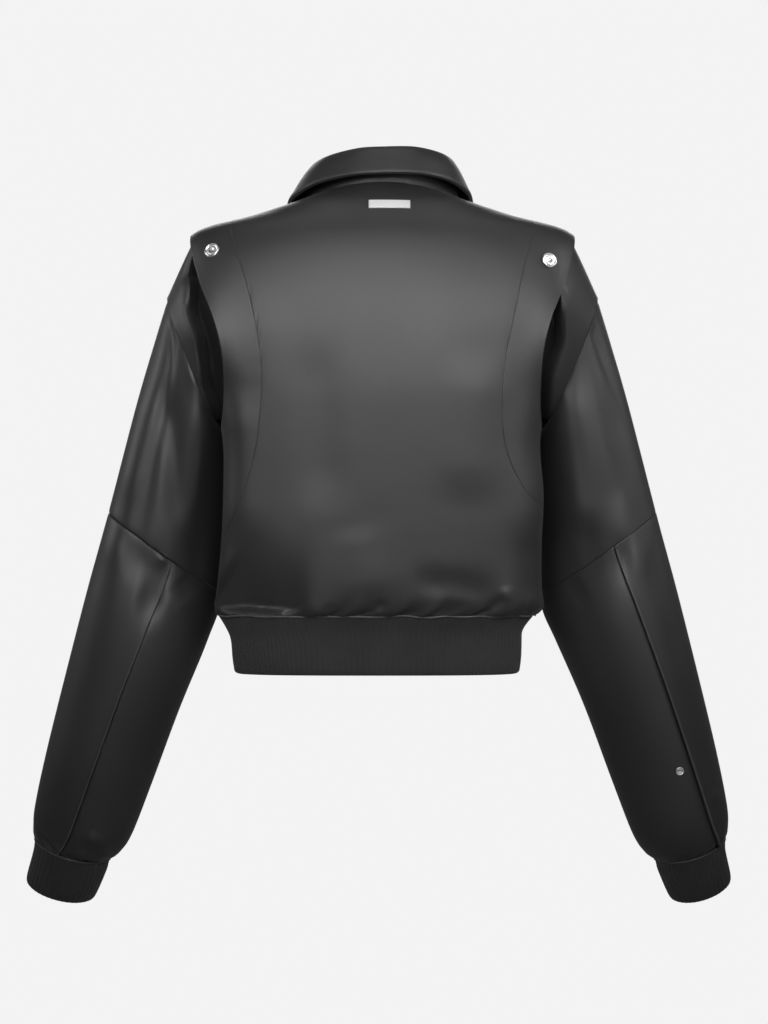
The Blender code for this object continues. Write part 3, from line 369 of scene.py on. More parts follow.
# Creases as they show from behind: a line in millimetres across (to the wearer's left) and up
# from the middle of the view, the half width, how high it rises (or, below zero, sinks), how far
# it leans to its left, and the shares of its length over which it fades in and out.
Crease = namedtuple("Crease", "line width rise lean fade_in fade_out", defaults=(0.0, 0.3, 0.3))
BACK_CREASES = [
    Crease([(162, 130), (159, 60), (162, -40)], 29, 11.0),
    Crease([(-162, 130), (-159, 60), (-162, -50)], 29, 11.0),
    Crease([(66, 185), (64, 80), (60, -10)], 22, -2.5),
    Crease([(-96, 170), (-92, 80), (-84, 0)], 32, 3.0),
    Crease([(30, -10), (24, -50), (16, -92)], 28, 1.3),
    Crease([(172, -78), (140, -96), (108, -106), (76, -114)], 44, -14.0, 0.0, 0.1, 0.3),
    Crease([(-147, -20), (-150, -60), (-150, -92)], 12, -3.5),
    Crease([(-20, -70), (-70, -74), (-120, -86)], 15, -3.0),
    Crease([(-106, -98), (-121, -86)], 5, -2.2),
    Crease([(-124, -74), (-123, -90)], 6, 1.8),
    Crease([(62, -95), (46, -100)], 5, -2.2),
    Crease([(5, -88), (3, -100)], 5, -1.8),
    # the sleeves
    Crease([(181, 170), (179, 100), (178, 40), (175, -40)], 12, 8.0, 0.0, 0.2, 0.4),
    Crease([(214, 140), (210, 60), (208, 0), (204, -34)], 11, -5.5),
    Crease([(246, 140), (256, 60), (262, 0)], 15, 3.0),
    Crease([(198, 237), (210, 201)], 3.5, 1.4),
    Crease([(226, -45), (218, -52)], 5, 2.4),
    Crease([(206, -66), (190, -84)], 14, -3.0),
    Crease([(290, -36), (256, -34)], 22, 2.5, 0.0, 0.4, 0.4),
    Crease([(250, -84), (214, -92)], 22, -5.0, 0.0, 0.4, 0.4),
    Crease([(300, -325), (270, -337)], 8, 3.0),
    Crease([(-182, 150), (-187, 110), (-193, 50), (-200, -30)], 15, 7.5, 0.0, 0.3, 0.2),
    Crease([(-220, 150), (-227, 100), (-233, 40), (-234, -26)], 13, -4.0, 0.0, 0.4, 0.3),
    Crease([(-198, 222), (-188, 177)], 4, -1.6),
    Crease([(-200, -74), (-186, -86)], 14, -1.2),
    Crease([(-240, -44), (-272, -46)], 22, 3.0, 0.0, 0.4, 0.4),
    Crease([(-333, -276), (-336, -295)], 7, 2.0),
]
FRONT_CREASES = [
    Crease([(-140, -25), (-112, -60), (-84, -80)], 28, -5.5),
    Crease([(30, -66), (76, -74), (122, -84)], 17, -3.0),
    Crease([(70, 110), (62, 40), (66, -20)], 26, 2.5),
    Crease([(-58, 120), (-66, 60), (-60, -20)], 30, -2.5),
    Crease([(-100, 190), (-112, 120), (-104, 40)], 30, 2.5),
]

SHOWN = 0.55  # of the depth of a side, where its creases reach their full height
BODY_DEPTH = 0.06  # from the sides, over which the back and front come to show in full
CREASE_REACH = 3.2  # half widths, beyond which a crease moves nothing
HEM_CREASE_FADE = 0.014  # from the hem seam, over which they rise

# Beside a border: the radius of its turned edge, the rise, place and half width of the line along
# it (below zero, a groove), and the rise, length and reach of its pucker.
Border = namedtuple("Border", "radius rise place width pucker length reach", defaults=(0, 1, 1))
BORDERS = {
    "seam": Border(0.0010, -0.00045, 0, 0.0030, 0.00030, 0.016, 0.007),
    "flat": Border(0.0003, -0.00010, 0, 0.0030, 0.00022, 0.020, 0.006),
    "raised": Border(0.0010, 0.0011, 0, 0.0030),
    "sunk": Border(0.0008, -0.0008, 0, 0.0026),
    "free": Border(0.0012, -0.00025, 0.0062, 0.0009),
}
GATHER_RADIUS = 0.0016
GATHERS = ((0.0030, 0.034, 0.016), (0.0012, 0.013, 0.009))  # their rise, length and reach
GATHERS_START, GATHERS_FULL = -0.0010, 0.0045  # from the sewn line
SIDE_FULLNESS = 0.25  # of the gathers, where the cloth faces to the side
SIDE_FACING, FULL_FACING = 0.3, 0.7  # how far it faces back or front there, and where all gather
RIPPLE_WAVES = 5
RIPPLE_LENGTHS = (0.45, 1.9)
RIPPLE_PHASES = (0, 6.3)
RIPPLE_SPREAD = 3.2  # by which their sum is divided


# ---- curves through tables
def hermite(t, start, end, leave, arrive):
    return (
        (2 * t**3 - 3 * t**2 + 1) * start
        + (t**3 - 2 * t**2 + t) * leave
        + (3 * t**2 - 2 * t**3) * end
        + (t**3 - t**2) * arrive
    )


def through(stops, position):
    """Values at positions between stops (0 at the first of them), on a smooth curve."""
    stops = np.asarray(stops, float)
    last = len(stops) - 1
    position = np.clip(np.asarray(position, float), 0, last)
    row = np.minimum(position.astype(int), last - 1)
    t = (position - row).reshape(position.shape + (1,) * (stops.ndim - 1))
    before, start, end, after = (stops[np.clip(row + k, 0, last)] for k in (-1, 0, 1, 2))
    return hermite(t, start, end, (end - before) / 2, (after - start) / 2)


def curve(table, name, position):
    """A column of a table at row positions."""
    return through([getattr(row, name) for row in table], position)


def section(table, position):
    """All columns of a table at row positions."""
    row = table[0]
    return type(row)(*(curve(table, name, position) for name in row._fields))


def by_key(table, key, name, value):
    """A column of a table whose key column rises, at values of that key."""
    keys = np.array([getattr(row, key) for row in table])
    value = np.clip(value, keys[0], keys[-1])
    row = np.clip(np.searchsorted(keys, value, side="right") - 1, 0, len(keys) - 2)
    return curve(table, name, row + (value - keys[row]) / (keys[row + 1] - keys[row]))


def smooth(value, low, high):
    """0 below low and 1 above high, with a soft step between."""
    t = np.clip((value - low) / (high - low), 0, 1)
    return t * t * (3 - 2 * t)


def between(low, high, share):
    return low + (high - low) * share


def hill(far, half_width):
    """1 in the middle of a soft hill, and near 0 at twice its half width."""
    return np.exp(-((far / half_width) ** 2))


def unit(vectors):
    return vectors / np.maximum(np.linalg.norm(vectors, axis=-1, keepdims=True), 1e-12)


def points(x, y, z):
    return np.stack(np.broadcast_arrays(x, y, z), axis=-1).astype(float)


def walked(line):
    """How far each point of a line lies from its first, along it."""
    return np.concatenate([[0], np.cumsum(np.linalg.norm(np.diff(line, axis=0), axis=1))])


def folded(folds, across, along):
    rise = 0.0
    for fold in folds:
        down = (along - fold.along) / fold.half_along
        side = (across - fold.across - fold.lean * down) / fold.half_across
        rise = rise + fold.rise * np.exp(-(down**2) - side**2)
    return rise


# ---- the three lofts
def oval(turn, at):
    """Across and depth of a section of the body, rounder at the front than at the back."""
    across, facing = np.sin(math.pi * turn), np.cos(math.pi * turn)
    depth = np.abs(facing) ** ROUND_POWER
    flat = np.maximum(1 - np.abs(across) ** FLAT_POWER, 0) ** (1 / FLAT_POWER)
    depth = depth + np.where(facing > 0, (flat - depth) * at.back_flat, 0)
    return at.half_width * across + at.middle_x, np.where(facing > 0, at.back_y, at.front_y) * depth


def torso_point(turn, row):
    """A point of the body. The turn is 0 at the middle of the back and 1 at that of the front."""
    at = section(TORSO, row)
    facing = np.cos(math.pi * turn)
    centre_z = np.where(facing > 0, at.back_z, at.front_z)
    return points(*oval(turn, at), at.side_z + (centre_z - at.side_z) * facing**2)


def hem_point(turn, row):
    at = section(HEM_RIB, row)
    return points(*oval(turn, at), at.height)


def sleeve_point(turn, row):
    """A point of the left sleeve. The turn is in degrees from the outermost point over the back."""
    at = section(SLEEVE, row)
    angle = np.radians(turn)
    across, back = np.cos(angle), at.half_depth * np.sin(angle)
    return points(
        (at.outer_x + at.inner_x) / 2 + across * (at.outer_x - at.inner_x) / 2,
        at.middle_y + back - at.forward * (1 - across) / 2,
        (at.outer_z + at.inner_z) / 2 + across * (at.outer_z - at.inner_z) / 2 - at.tilt * back,
    )


def loft_grid(turn, row):
    return np.broadcast_arrays(np.asarray(turn, float), np.asarray(row, float))


def normal_of(point, turn, row, end, step):
    """A normal of a loft with rows from 0 to end."""
    row = np.clip(row, NORMAL_STEP, end - NORMAL_STEP)
    sideways = point(turn + step, row) - point(turn - step, row)
    upwards = point(turn, row + NORMAL_STEP) - point(turn, row - NORMAL_STEP)
    return unit(np.cross(sideways, upwards))


def torso_spot(turn, row):
    """Points of the body's cloth and their outward normals."""
    turn, row = loft_grid(turn, row)
    normal = -normal_of(torso_point, turn, row, NECK_ROW, NORMAL_STEP_TURN)
    fade = np.minimum(1, row / FOLD_FADE_RINGS) * np.minimum(1, (NECK_ROW - row) / NECK_FADE_ROWS)
    rise = folded(TORSO_FOLDS, turn, row) * fade
    return torso_point(turn, row) + normal * rise[..., None], normal


def hem_spot(turn, row):
    turn, row = loft_grid(turn, row)
    normal = normal_of(hem_point, turn, row, len(HEM_RIB) - 1, NORMAL_STEP_TURN)
    return hem_point(turn, row), normal


def sleeve_spot(side, turn, row):
    turn, row = loft_grid(turn, row)
    normal = -normal_of(sleeve_point, turn, row, SLEEVE_END_RING, NORMAL_STEP_DEGREES)
    fade = np.minimum(1, row / FOLD_FADE_RINGS)
    fade = fade * np.minimum(1, np.maximum(0, CUFF_RING - row) / FOLD_FADE_RINGS)
    rise = folded(SLEEVE_FOLDS[side], turn % 360, row) * fade
    at = sleeve_point(turn, row) + normal * rise[..., None]
    mirror = np.array([SIDES[side], 1.0, 1.0])
    inward = (1 - np.cos(np.radians(turn))) / 2
    sway = SLEEVE_SWAY + SIDES[side] * SLEEVE_TRIM[side] * inward
    return at * mirror + points(sway * (row / CUFF_RING) ** 2, 0.0, 0.0), normal * mirror


# ---- seams on the body
def turn_at(row, x):
    """The turn at which the body is x wide from its middle."""
    return np.arcsin(np.minimum(1, x / curve(TORSO, "half_width", row))) / math.pi


def side_turn(turn, row, low, high, front):
    """The turn of a line that leaves the side only between two rows."""
    turn = np.where((row <= low) | (row >= high), SIDE_TURN, turn)
    return 1 - turn if front else turn


def seam_turn(side, row, front=False):
    """Where the curved seam of one side runs."""
    x = by_key(CURVED_SEAM, "height", side + "_x", curve(TORSO, "side_z", row))
    turn = turn_at(row, x)
    end = SEAM_END_ROW[side]
    turn = turn + (SIDE_TURN - turn) * (1 - smooth(row, end, end + SEAM_END_FADE_ROWS))
    return side_turn(turn, row, end, SEAM_TOP_ROW, front)


def edge_turn(row, front=False):
    """Where the free edge of a wing runs."""
    x = by_key(WING_EDGE, "height", "x", curve(TORSO, "side_z", row))
    return side_turn(turn_at(row, x), row, UNDERARM_ROW, TIP_ROW, front)


def zip_turn(row, x=ZIP_EDGE_X):
    """The turn, over the left side, of a place beside the middle of the front."""
    return 1 - turn_at(row, x)


def wing_rows(side, down):
    """Body rows at the curved seam and at the free edge, from the shoulder (0) to the side (1)."""
    seam_rows = [row for row in SEAM_ROWS if row >= SEAM_END_ROW[side]][::-1]
    spread = np.linspace(0, 1, len(seam_rows))
    return np.interp(down, spread, seam_rows), TIP_ROW - (TIP_ROW - UNDERARM_ROW) * down


def wing_spot(side, front, down, share):
    """Points between the curved seam (share 0) and the free edge (share 1)."""
    seam_row, edge_row = wing_rows(side, down)
    start = seam_turn(side, seam_row, front)
    turn = start + (edge_turn(edge_row, front) - start) * share
    at, normal = torso_spot(turn * SIDES[side], seam_row + (edge_row - seam_row) * share)
    if not front:
        free = (edge_row - UNDERARM_ROW) / (TIP_ROW - UNDERARM_ROW)
        at[..., 1] += WING_FLARE * (share * np.sin(math.pi * free)) ** 2
    return at, normal


# ---- grids
def spaced(length, step=STEP, low=EDGE_STEPS, high=EDGE_STEPS):
    """Shares of a length: fine steps at the ends that have a seam, and even steps between."""
    start, end = max(low, default=0.0), length - max(high, default=0.0)
    count = max(2, round((end - start) / step))
    middle = np.linspace(start, end, count + 1)
    ends = [length - s for s in high[::-1] if length - s > end]
    return np.concatenate([[s for s in low if s < start], middle, ends]) / length


def sewn_edge(shares):
    """Shares whose ends lie on the seams themselves, also where the section turns sharply."""
    return np.clip((shares - shares[0]) / (shares[-1] - shares[0]), 0, 1)


def along_lines(grid, axis):
    """How far each point lies from both ends of its grid line, in metres."""
    step = np.linalg.norm(np.diff(grid, axis=axis), axis=-1)
    zero = np.zeros_like(np.take(step, [0], axis=axis))
    far = np.concatenate([zero, np.cumsum(step, axis=axis)], axis=axis)
    return far, np.take(far, [-1], axis=axis) - far


def grid_normals(grid, closed=False, flip=1.0):
    if closed:
        around = np.roll(grid, -1, axis=1) - np.roll(grid, 1, axis=1)
    else:
        around = np.gradient(grid, axis=1)
    return unit(np.cross(around, np.gradient(grid, axis=0))) * flip


# ---- creases and gathers
def ripple(at, seed, length):
    """An uneven wave along a seam, of about the given length, between -1 and 1."""
    random = np.random.RandomState(seed)
    total = 0.0
    for _ in range(RIPPLE_WAVES):
        wave = length * random.uniform(*RIPPLE_LENGTHS)
        total = total + np.sin(2 * math.pi * at / wave + random.uniform(*RIPPLE_PHASES))
    return total / RIPPLE_SPREAD


def seen_from_behind(at):
    """Where points show in the rear view: millimetres across, to the wearer's left, and up."""
    scale = 1000 * CAMERA_DISTANCE / (CAMERA_DISTANCE - at[..., 1])
    return (at[..., 0] - CAMERA_X) * scale, (at[..., 2] - CAMERA_Z) * scale


def along_polyline(line, x, y):
    """The distance of points from a line, the share of its length beside them, and their side."""
    lengths = walked(line)
    best, where, side = np.full(x.shape, np.inf), np.zeros(x.shape), np.zeros(x.shape)
    for k, (start, step) in enumerate(zip(line[:-1], np.diff(line, axis=0))):
        size = step @ step
        t = np.clip(((x - start[0]) * step[0] + (y - start[1]) * step[1]) / size, 0, 1)
        dx, dy = x - start[0] - t * step[0], y - start[1] - t * step[1]
        far = np.hypot(dx, dy)
        closer = far < best
        best = np.where(closer, far, best)
        where = np.where(closer, (lengths[k] + t * math.sqrt(size)) / lengths[-1], where)
        side = np.where(closer, np.sign(dx * step[1] - dy * step[0]), side)
    return best, where, side


def creased(at, shown, creases):
    """How far the creases of one side move points, as far as that side is shown there."""
    across, up = seen_from_behind(at)
    rise = np.zeros(at.shape[:-1])
    for crease in creases:
        line = np.array(crease.line, float)
        reach = CREASE_REACH * crease.width
        (left, low), (right, high) = line.min(axis=0) - reach, line.max(axis=0) + reach
        near = (across > left) & (across < right) & (up > low) & (up < high) & (shown > 0)
        if near.any():
            far, where, side = along_polyline(line, across[near], up[near])
            fade = smooth(where, 0, crease.fade_in) * smooth(1 - where, 0, crease.fade_out)
            width = crease.width * (1 - crease.lean * side)
            rise[near] += crease.rise / 1000 * hill(far, width) * fade
    return rise * shown


def creased_spot(at, depth):
    """Points moved to the back and front by the creases, the same on both sides of a seam.

    The depth is 1 where the back shows in full, 0 at the sides and -1 where the front does.
    """
    moved = at.copy()
    moved[..., 1] += creased(at, smooth(depth, 0, SHOWN), BACK_CREASES)
    moved[..., 1] -= creased(at, smooth(-depth, 0, SHOWN), FRONT_CREASES)
    return moved


# ---- cloth walls
def rounded(far, radius):
    """How far a turned edge drops, at a distance from its end."""
    inside = np.clip(radius - far, 0, radius)
    return radius - np.sqrt(np.maximum(radius**2 - inside**2, 0))


def gathered(far, along, fullness, seed):
    rise = sum(
        height * ripple(along, seed + k, length) * hill(far, reach)
        for k, (height, length, reach) in enumerate(GATHERS)
    )
    return rise * fullness * smooth(far, GATHERS_START, GATHERS_FULL) - rounded(far, GATHER_RADIUS)


def border_relief(kind, far, along, fullness, seed):
    """The relief beside one border of a panel."""
    if kind == "none":
        return np.zeros_like(far)
    if kind == "gather":
        return gathered(far, along, fullness, seed)
    border = BORDERS[kind]
    rise = border.rise * hill(far - border.place, border.width) - rounded(far, border.radius)
    return rise + border.pucker * ripple(along, seed, border.length) * np.exp(-far / border.reach)


def cloth_relief(at, normal, borders, seed):
    """Gathers and seams: borders are those of the low and high row, then low and high column."""
    from_rows, from_columns = along_lines(at, 0), along_lines(at, 1)
    facing = smooth(np.abs(normal[..., 1]), SIDE_FACING, FULL_FACING)
    sides = [(far, from_columns[0], between(SIDE_FULLNESS, 1, facing)) for far in from_rows]
    sides += [(far, from_rows[0], 1.0) for far in from_columns]
    return sum(
        border_relief(kind, *side, seed + BORDER_SEEDS * k)
        for k, (kind, side) in enumerate(zip(borders, sides))
    )


# ---- meshes
def placed(name, data):
    made = bpy.data.objects.new(name, data)
    bpy.context.scene.collection.objects.link(made)
    return made


def mesh_object(name, vertices, faces, sharp=None):
    """A smooth mesh, with sharp edges above an angle in degrees."""
    mesh = bpy.data.meshes.new(name)
    mesh.from_pydata(vertices, [], faces)
    mesh.update()
    mesh.shade_smooth()
    if sharp:
        mesh.set_sharp_from_angle(angle=math.radians(sharp))
    return placed(name, mesh)


def quads(low, high, flip):
    """Faces between two rows of vertex numbers, or between grids of them shifted by one row."""
    faces = np.stack([low[..., :-1], low[..., 1:], high[..., 1:], high[..., :-1]], axis=-1)
    faces = faces.reshape(-1, 4)
    return faces[:, ::-1] if flip else faces


def wall_mesh(name, at, normal, rise, thickness, closed=False, out=0.0):
    """A closed wall from a grid: an outer face with relief and an inner face below it."""
    outer = at + normal * (out + rise)[..., None]
    sunk = np.minimum(rise, 0) * INNER_DIP + np.maximum(rise, 0) * INNER_RISE
    inner = at + normal * (out + sunk - thickness)[..., None]
    around = np.roll(outer, -1, 1) - outer if closed else np.gradient(outer, axis=1)
    flip = float((np.cross(around, np.gradient(outer, axis=0)) * normal).sum()) < 0
    count = outer[..., 0].size
    index = np.arange(count).reshape(outer.shape[:2])
    loop = np.hstack([index, index[:, :1]]) if closed else index
    faces = [quads(loop[:-1], loop[1:], flip), quads(loop[:-1] + count, loop[1:] + count, not flip)]
    rims = [(loop[0], not flip), (loop[-1], flip)]
    if not closed:
        rims += [(index[:, 0], flip), (index[:, -1], not flip)]
    faces += [quads(line, line + count, turned) for line, turned in rims]
    vertices = np.concatenate([outer.reshape(-1, 3), inner.reshape(-1, 3)])
    return mesh_object(name, vertices.tolist(), np.concatenate(faces).tolist(), sharp=50)


def tube_mesh(name, line, radius, closed=False):
    ahead = np.roll(line, -1, 0) - np.roll(line, 1, 0) if closed else np.gradient(line, axis=0)
    ahead = unit(ahead)
    radius = np.broadcast_to(radius, len(line))[:, None]
    side = unit(np.cross(ahead, np.array([0, 0, 1.0])))
    up = np.cross(side, ahead)
    angles = [2 * math.pi * k / TUBE_SIDES for k in range(TUBE_SIDES)]
    rings = [line + (side * math.cos(a) + up * math.sin(a)) * radius for a in angles]
    index = np.arange(len(line) * TUBE_SIDES).reshape(-1, TUBE_SIDES)
    loop = np.vstack([index, index[:1]]) if closed else index
    turned = np.roll(loop, -1, 1)
    faces = np.stack([loop[1:], turned[1:], turned[:-1], loop[:-1]], -1).reshape(-1, 4).tolist()
    if not closed:
        faces += [index[0][::-1].tolist(), index[-1].tolist()]
    return mesh_object(name, np.stack(rings, axis=1).reshape(-1, 3).tolist(), faces)


def dress(piece, material, slot, *nodes):
    """Gives a piece its material, lets it ride the jacket and stand for its solids. The slot is not
    used.
    """
    piece.data.materials.clear()
    piece.data.materials.append(material)
    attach(piece, "jacket")
    if nodes:
        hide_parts(*nodes)


def declare(at, closed=False):
    """Only adds the first column again at the end of a closed grid; nothing is done with the
    result.
    """
    if closed:
        at = np.concatenate([at, at[:, :1]], axis=1)


# ---- materials
def fill(tree, node, inputs):
    """Gives inputs of a node their values, or links them to the outputs given for them."""
    for name, value in inputs.items():
        if isinstance(value, bpy.types.NodeSocket):
            tree.links.new(value, node.inputs[name])
        else:
            node.inputs[name].default_value = value
    return node


def new_node(tree, kind, inputs):
    return fill(tree, tree.nodes.new(kind), inputs)


def new_material(name):
    material = bpy.data.materials.new(name)
    material.use_nodes = True
    return material, material.node_tree


def shade(tree, inputs):
    fill(tree, tree.nodes["Principled BSDF"], inputs)


def textured(tree, kind, scale, stretch=(1, 1, 1), turned=(0, 0, 0), **values):
    """The strength of a texture in the jacket's own frame, scaled for each axis."""
    where = tree.nodes.new("ShaderNodeTexCoord").outputs["Object"]
    mapping = new_node(
        tree, "ShaderNodeMapping", {"Vector": where, "Scale": stretch, "Rotation": turned}
    )
    values.update(Scale=scale, Vector=mapping.outputs["Vector"])
    return new_node(tree, kind, values).outputs["Fac"]


def noise(tree, scale, **values):
    return textured(tree, "ShaderNodeTexNoise", scale, **values)


def remap(tree, source, low, high, start=0.3, end=0.7):
    """A source as a value from low to high; noise mostly lies between 0.3 and 0.7."""
    ends = {"From Min": start, "From Max": end, "To Min": low, "To Max": high}
    return new_node(tree, "ShaderNodeMapRange", {"Value": source, **ends}).outputs["Result"]


def mixed(tree, factor, first, second):
    made = tree.nodes.new("ShaderNodeMix")
    made.data_type = "RGBA"
    fill(tree, made, {"Factor": factor, "A": (*first, 1), "B": (*second, 1)})
    return made.outputs["Result"]


def bumped(tree, source, distance, strength=1.0, **under):
    inputs = {"Height": source, "Distance": distance, "Strength": strength, **under}
    return new_node(tree, "ShaderNodeBump", inputs).outputs["Normal"]


def satin_material(name, dark, light):
    """Satin: a close, smooth weave with long floats, and a soft sheen that varies a little."""
    material, tree = new_material(name)
    cloud = noise(tree, 9.0, Detail=3.0)
    thread = noise(tree, 900.0, stretch=(1.0, 1.0, 0.22), Detail=2.0)
    rumple = noise(tree, 26.0, stretch=(1.0, 1.0, 0.6), Detail=2.5)
    fine = bumped(tree, thread, 0.00006)
    shade(tree, {
        "Base Color": mixed(tree, remap(tree, cloud, 0, 1), dark, light),
        "Roughness": remap(tree, cloud, 0.48, 0.54),
        "Normal": bumped(tree, rumple, 0.0011, 0.55, Normal=fine),
        "Specular IOR Level": 0.62,
        "Sheen Weight": 0.06,
        "Sheen Roughness": 0.35,
    })
    return material


def rib_material():
    """Black rib knit: matt yarn in small loops."""
    material, tree = new_material("black_rib_knit")
    loops = noise(tree, 520.0, stretch=(1, 1, 1.7), Detail=2.0)
    cloud = noise(tree, 22.0, Detail=2.0)
    shade(tree, {
        "Base Color": mixed(tree, remap(tree, cloud, 0, 1), (0.0215,) * 3, (0.0285,) * 3),
        "Roughness": 0.85,
        "Normal": bumped(tree, loops, 0.0006),
        "Specular IOR Level": 0.3,
        "Sheen Weight": 0.12,
        "Sheen Roughness": 0.5,
    })
    return material


def metal_material(name, colour, roughness, metallic=1.0):
    """Metal with fine marks, which change its roughness a little."""
    material, tree = new_material(name)
    marks = noise(tree, 260.0, stretch=(0.12, 1, 1), Detail=3.0)
    shade(tree, {
        "Base Color": (*colour, 1),
        "Metallic": metallic,
        "Roughness": remap(tree, marks, roughness - METAL_MARKS, roughness + METAL_MARKS),
        "Normal": bumped(tree, marks, 0.00003),
    })
    return material


def tape_material():
    material, tree = new_material("black_zip_tape")
    weave = textured(tree, "ShaderNodeTexWave", 420.0, turned=(0, 0.6, 0), Distortion=1.0)
    shade(tree, {
        "Base Color": mixed(tree, weave, (0.009,) * 3, (0.018,) * 3),
        "Roughness": 0.8,
        "Normal": bumped(tree, weave, 0.0002),
    })
    return material


SATIN = satin_material("black_satin", (0.0150, 0.0150, 0.0155), (0.0210, 0.0210, 0.0213))
# The cords and ridges get a lighter base colour: a painted highlight, standing in for the light
# their rounded tops catch.
PAINTED_HIGHLIGHT_SATIN = satin_material("black_satin_painted_highlight", (0.050, 0.050, 0.051), (0.075, 0.075, 0.076))
RIB = rib_material()
SILVER = metal_material("silver_metal", (0.90, 0.90, 0.90), 0.28)
PLATE = metal_material("satin_silver_plate", (0.93, 0.93, 0.93), 0.42, metallic=0.75)
GUNMETAL = metal_material("black_nickel", (0.12, 0.12, 0.125), 0.30)
TAPE = tape_material()


# ---- the vest layer
def cloth_piece(name, at, normal, borders, closed=False, depth=None, extra=0.0):
    """A panel of cloth. Its depth is as for creased_spot, by default that of the body."""
    moved = creased_spot(at, at[..., 1] / BODY_DEPTH if depth is None else depth)
    if borders[0] == "gather":
        fade = smooth(along_lines(at, 0)[0], 0, HEM_CREASE_FADE)
        moved = at + (moved - at) * fade[..., None]
    rise = cloth_relief(at, normal, borders, SEEDS[name]) + extra
    piece = wall_mesh(name + "_cloth", moved, normal, rise, CLOTH, closed)
    dress(piece, SATIN, "satin", name)
    declare(at, closed)


def body_rows():
    """Rows of the body from hem to neck at even steps along its back."""
    rows = np.linspace(0, NECK_ROW, POINTS["body"])
    length = walked(torso_point(np.zeros_like(rows), rows))
    return np.interp(spaced(length[-1]) * length[-1], length, rows)[:, None]


BODY_ROWS = body_rows()


def body_panel(name, start, end, width, last_border):
    """A panel from hem to neck, between two lines."""
    across = sewn_edge(spaced(width))[None, :]
    at, normal = torso_spot(between(start, end, across), BODY_ROWS)
    cloth_piece(name, at, normal, ("gather", "seam", "flat", last_border))


def make_back():
    start, end = (SIDES[side] * seam_turn(side, BODY_ROWS) for side in ("right", "left"))
    body_panel("back", start, end, STEPS_ACROSS["back"], "flat")


def make_front(side):
    start = SIDES[side] * seam_turn(side, BODY_ROWS, front=True)
    end = SIDES[side] * zip_turn(BODY_ROWS)
    body_panel("front_" + side, start, end, STEPS_ACROSS["front"], "free")


def make_wing(side, face):
    down = spaced(STEPS_ALONG["wing"])[:, None]
    across = spaced(STEPS_ACROSS["wing"], step=WING_STEP)[None, :]
    at, normal = wing_spot(side, face == "front", down, across)
    cloth_piece(f"wing_{face}_{side}", at, normal, ("seam", "seam", "flat", "free"))


# ---- side panels and sleeves
def panel_gap(side, down, front, wide):
    """How far the fold of a side panel reaches over the way to the armhole seam."""
    gap = sum(share * smooth(down, start, end) for share, start, end in PANEL_GAP[side])
    closing = np.where(front, PANEL_GAP_ENDS["front"], PANEL_GAP_ENDS["back"])
    gap = gap * (1 - smooth(down, closing, 1.0)) * wide
    return np.minimum(np.maximum(PANEL_REACH, gap), PANEL_GAP_MOST * wide)


def panel_line(side, turn):
    """Points of the side panel, from the curved seam to the armhole seam, at each turn."""
    front = turn > 180
    down = np.where(front, 360 - turn, turn) / 180
    bow = np.sin(math.pi * down) ** PANEL_BOW_POWER
    lift = between(WING_TIP_STAND_OFF, WING_STAND_OFF, bow)[:, None]

    def spot(share):
        back, fore = (wing_spot(side, face, down, share) for face in (False, True))
        return (np.where(front[:, None], f, b) for f, b in zip(fore, back))

    line = []
    for share in PANEL_SHARES:
        at, normal = spot(share)
        line.append(at - normal * (UNDER_WING + lift * share / PANEL_SHARES[-1]))
    edge, normal = spot(1.0)
    seam = sleeve_spot(side, turn, 0.0)[0]
    wide = np.linalg.norm(seam - edge, axis=-1)
    gap = panel_gap(side, down, front, wide)[:, None]
    out = (seam - edge) / wide[:, None]
    inward = -unit(normal + points(0, np.where(front, -bow, bow), 0))
    lip_depth = between(PANEL_LIP_DEPTH["end"], PANEL_LIP_DEPTH["middle"], bow)[:, None]
    deep = np.where(front, PANEL_DEPTH["front"], PANEL_DEPTH["back"])[:, None]
    tuck = edge - out * PANEL_TUCK - normal * (UNDER_WING + lift)
    low = edge + out * (gap - PANEL_LIP) * PANEL_LOW + inward * (UNDER_WING + lift * deep)
    crest = edge + out * gap - normal * (UNDER_WING + lift * lip_depth)
    for at in (tuck, low, crest):
        raised = np.maximum(at[:, 2], edge[:, 2] + PANEL_UNDERARM_RISE)
        at[:, 2] = np.where(down > PANEL_UNDERARM, raised, at[:, 2])
    return np.stack(line + [tuck, low, crest, seam])


def make_side_panel(side):
    stops = panel_line(side, TURNS_ROUND)
    shares = spaced(STEPS_ALONG["side_panel"], low=NO_EDGE)
    at = through(stops, shares * (len(stops) - 1))
    normal = grid_normals(at, closed=True, flip=SIDES[side])
    seam_normal = sleeve_spot(side, TURNS_ROUND, 0.0)[1]
    blend = smooth(np.linspace(0, 1, len(at)), PANEL_SEAM_BLEND, 1.0)[:, None, None] / 2
    normal = unit(between(normal, seam_normal, blend))
    cloth_piece("side_panel_" + side, at, normal, ("none", "seam"), closed=True)


def sleeve_depth(at, rings):
    """How far the back (1) or front (-1) of a sleeve shows at points of it."""
    half_depth = SLEEVE_SHOWN_DEPTH * curve(SLEEVE, "half_depth", rings)
    return (at[..., 1] - curve(SLEEVE, "middle_y", rings)) / half_depth


def make_upper_sleeve(side):
    turns = TURNS_ROUND[None, :]
    rings = ELBOW_RING * spaced(STEPS_ALONG["sleeve_upper"])[:, None]
    at, normal = sleeve_spot(side, turns, rings)
    swell = UNDERARM_SWELL[side]
    for place, (middle, half_size) in ((turns, UNDERARM_TURN), (rings, UNDERARM_RING)):
        swell = swell * hill(place - middle, half_size)
    cloth_piece("sleeve_upper_" + side, at, normal, ("seam", ELBOW_SEAM[side]), closed=True,
                depth=sleeve_depth(at, rings), extra=swell)


def long_seam_turn(ends, ring):
    return between(*ends, (ring - ELBOW_RING) / (CUFF_RING - ELBOW_RING))


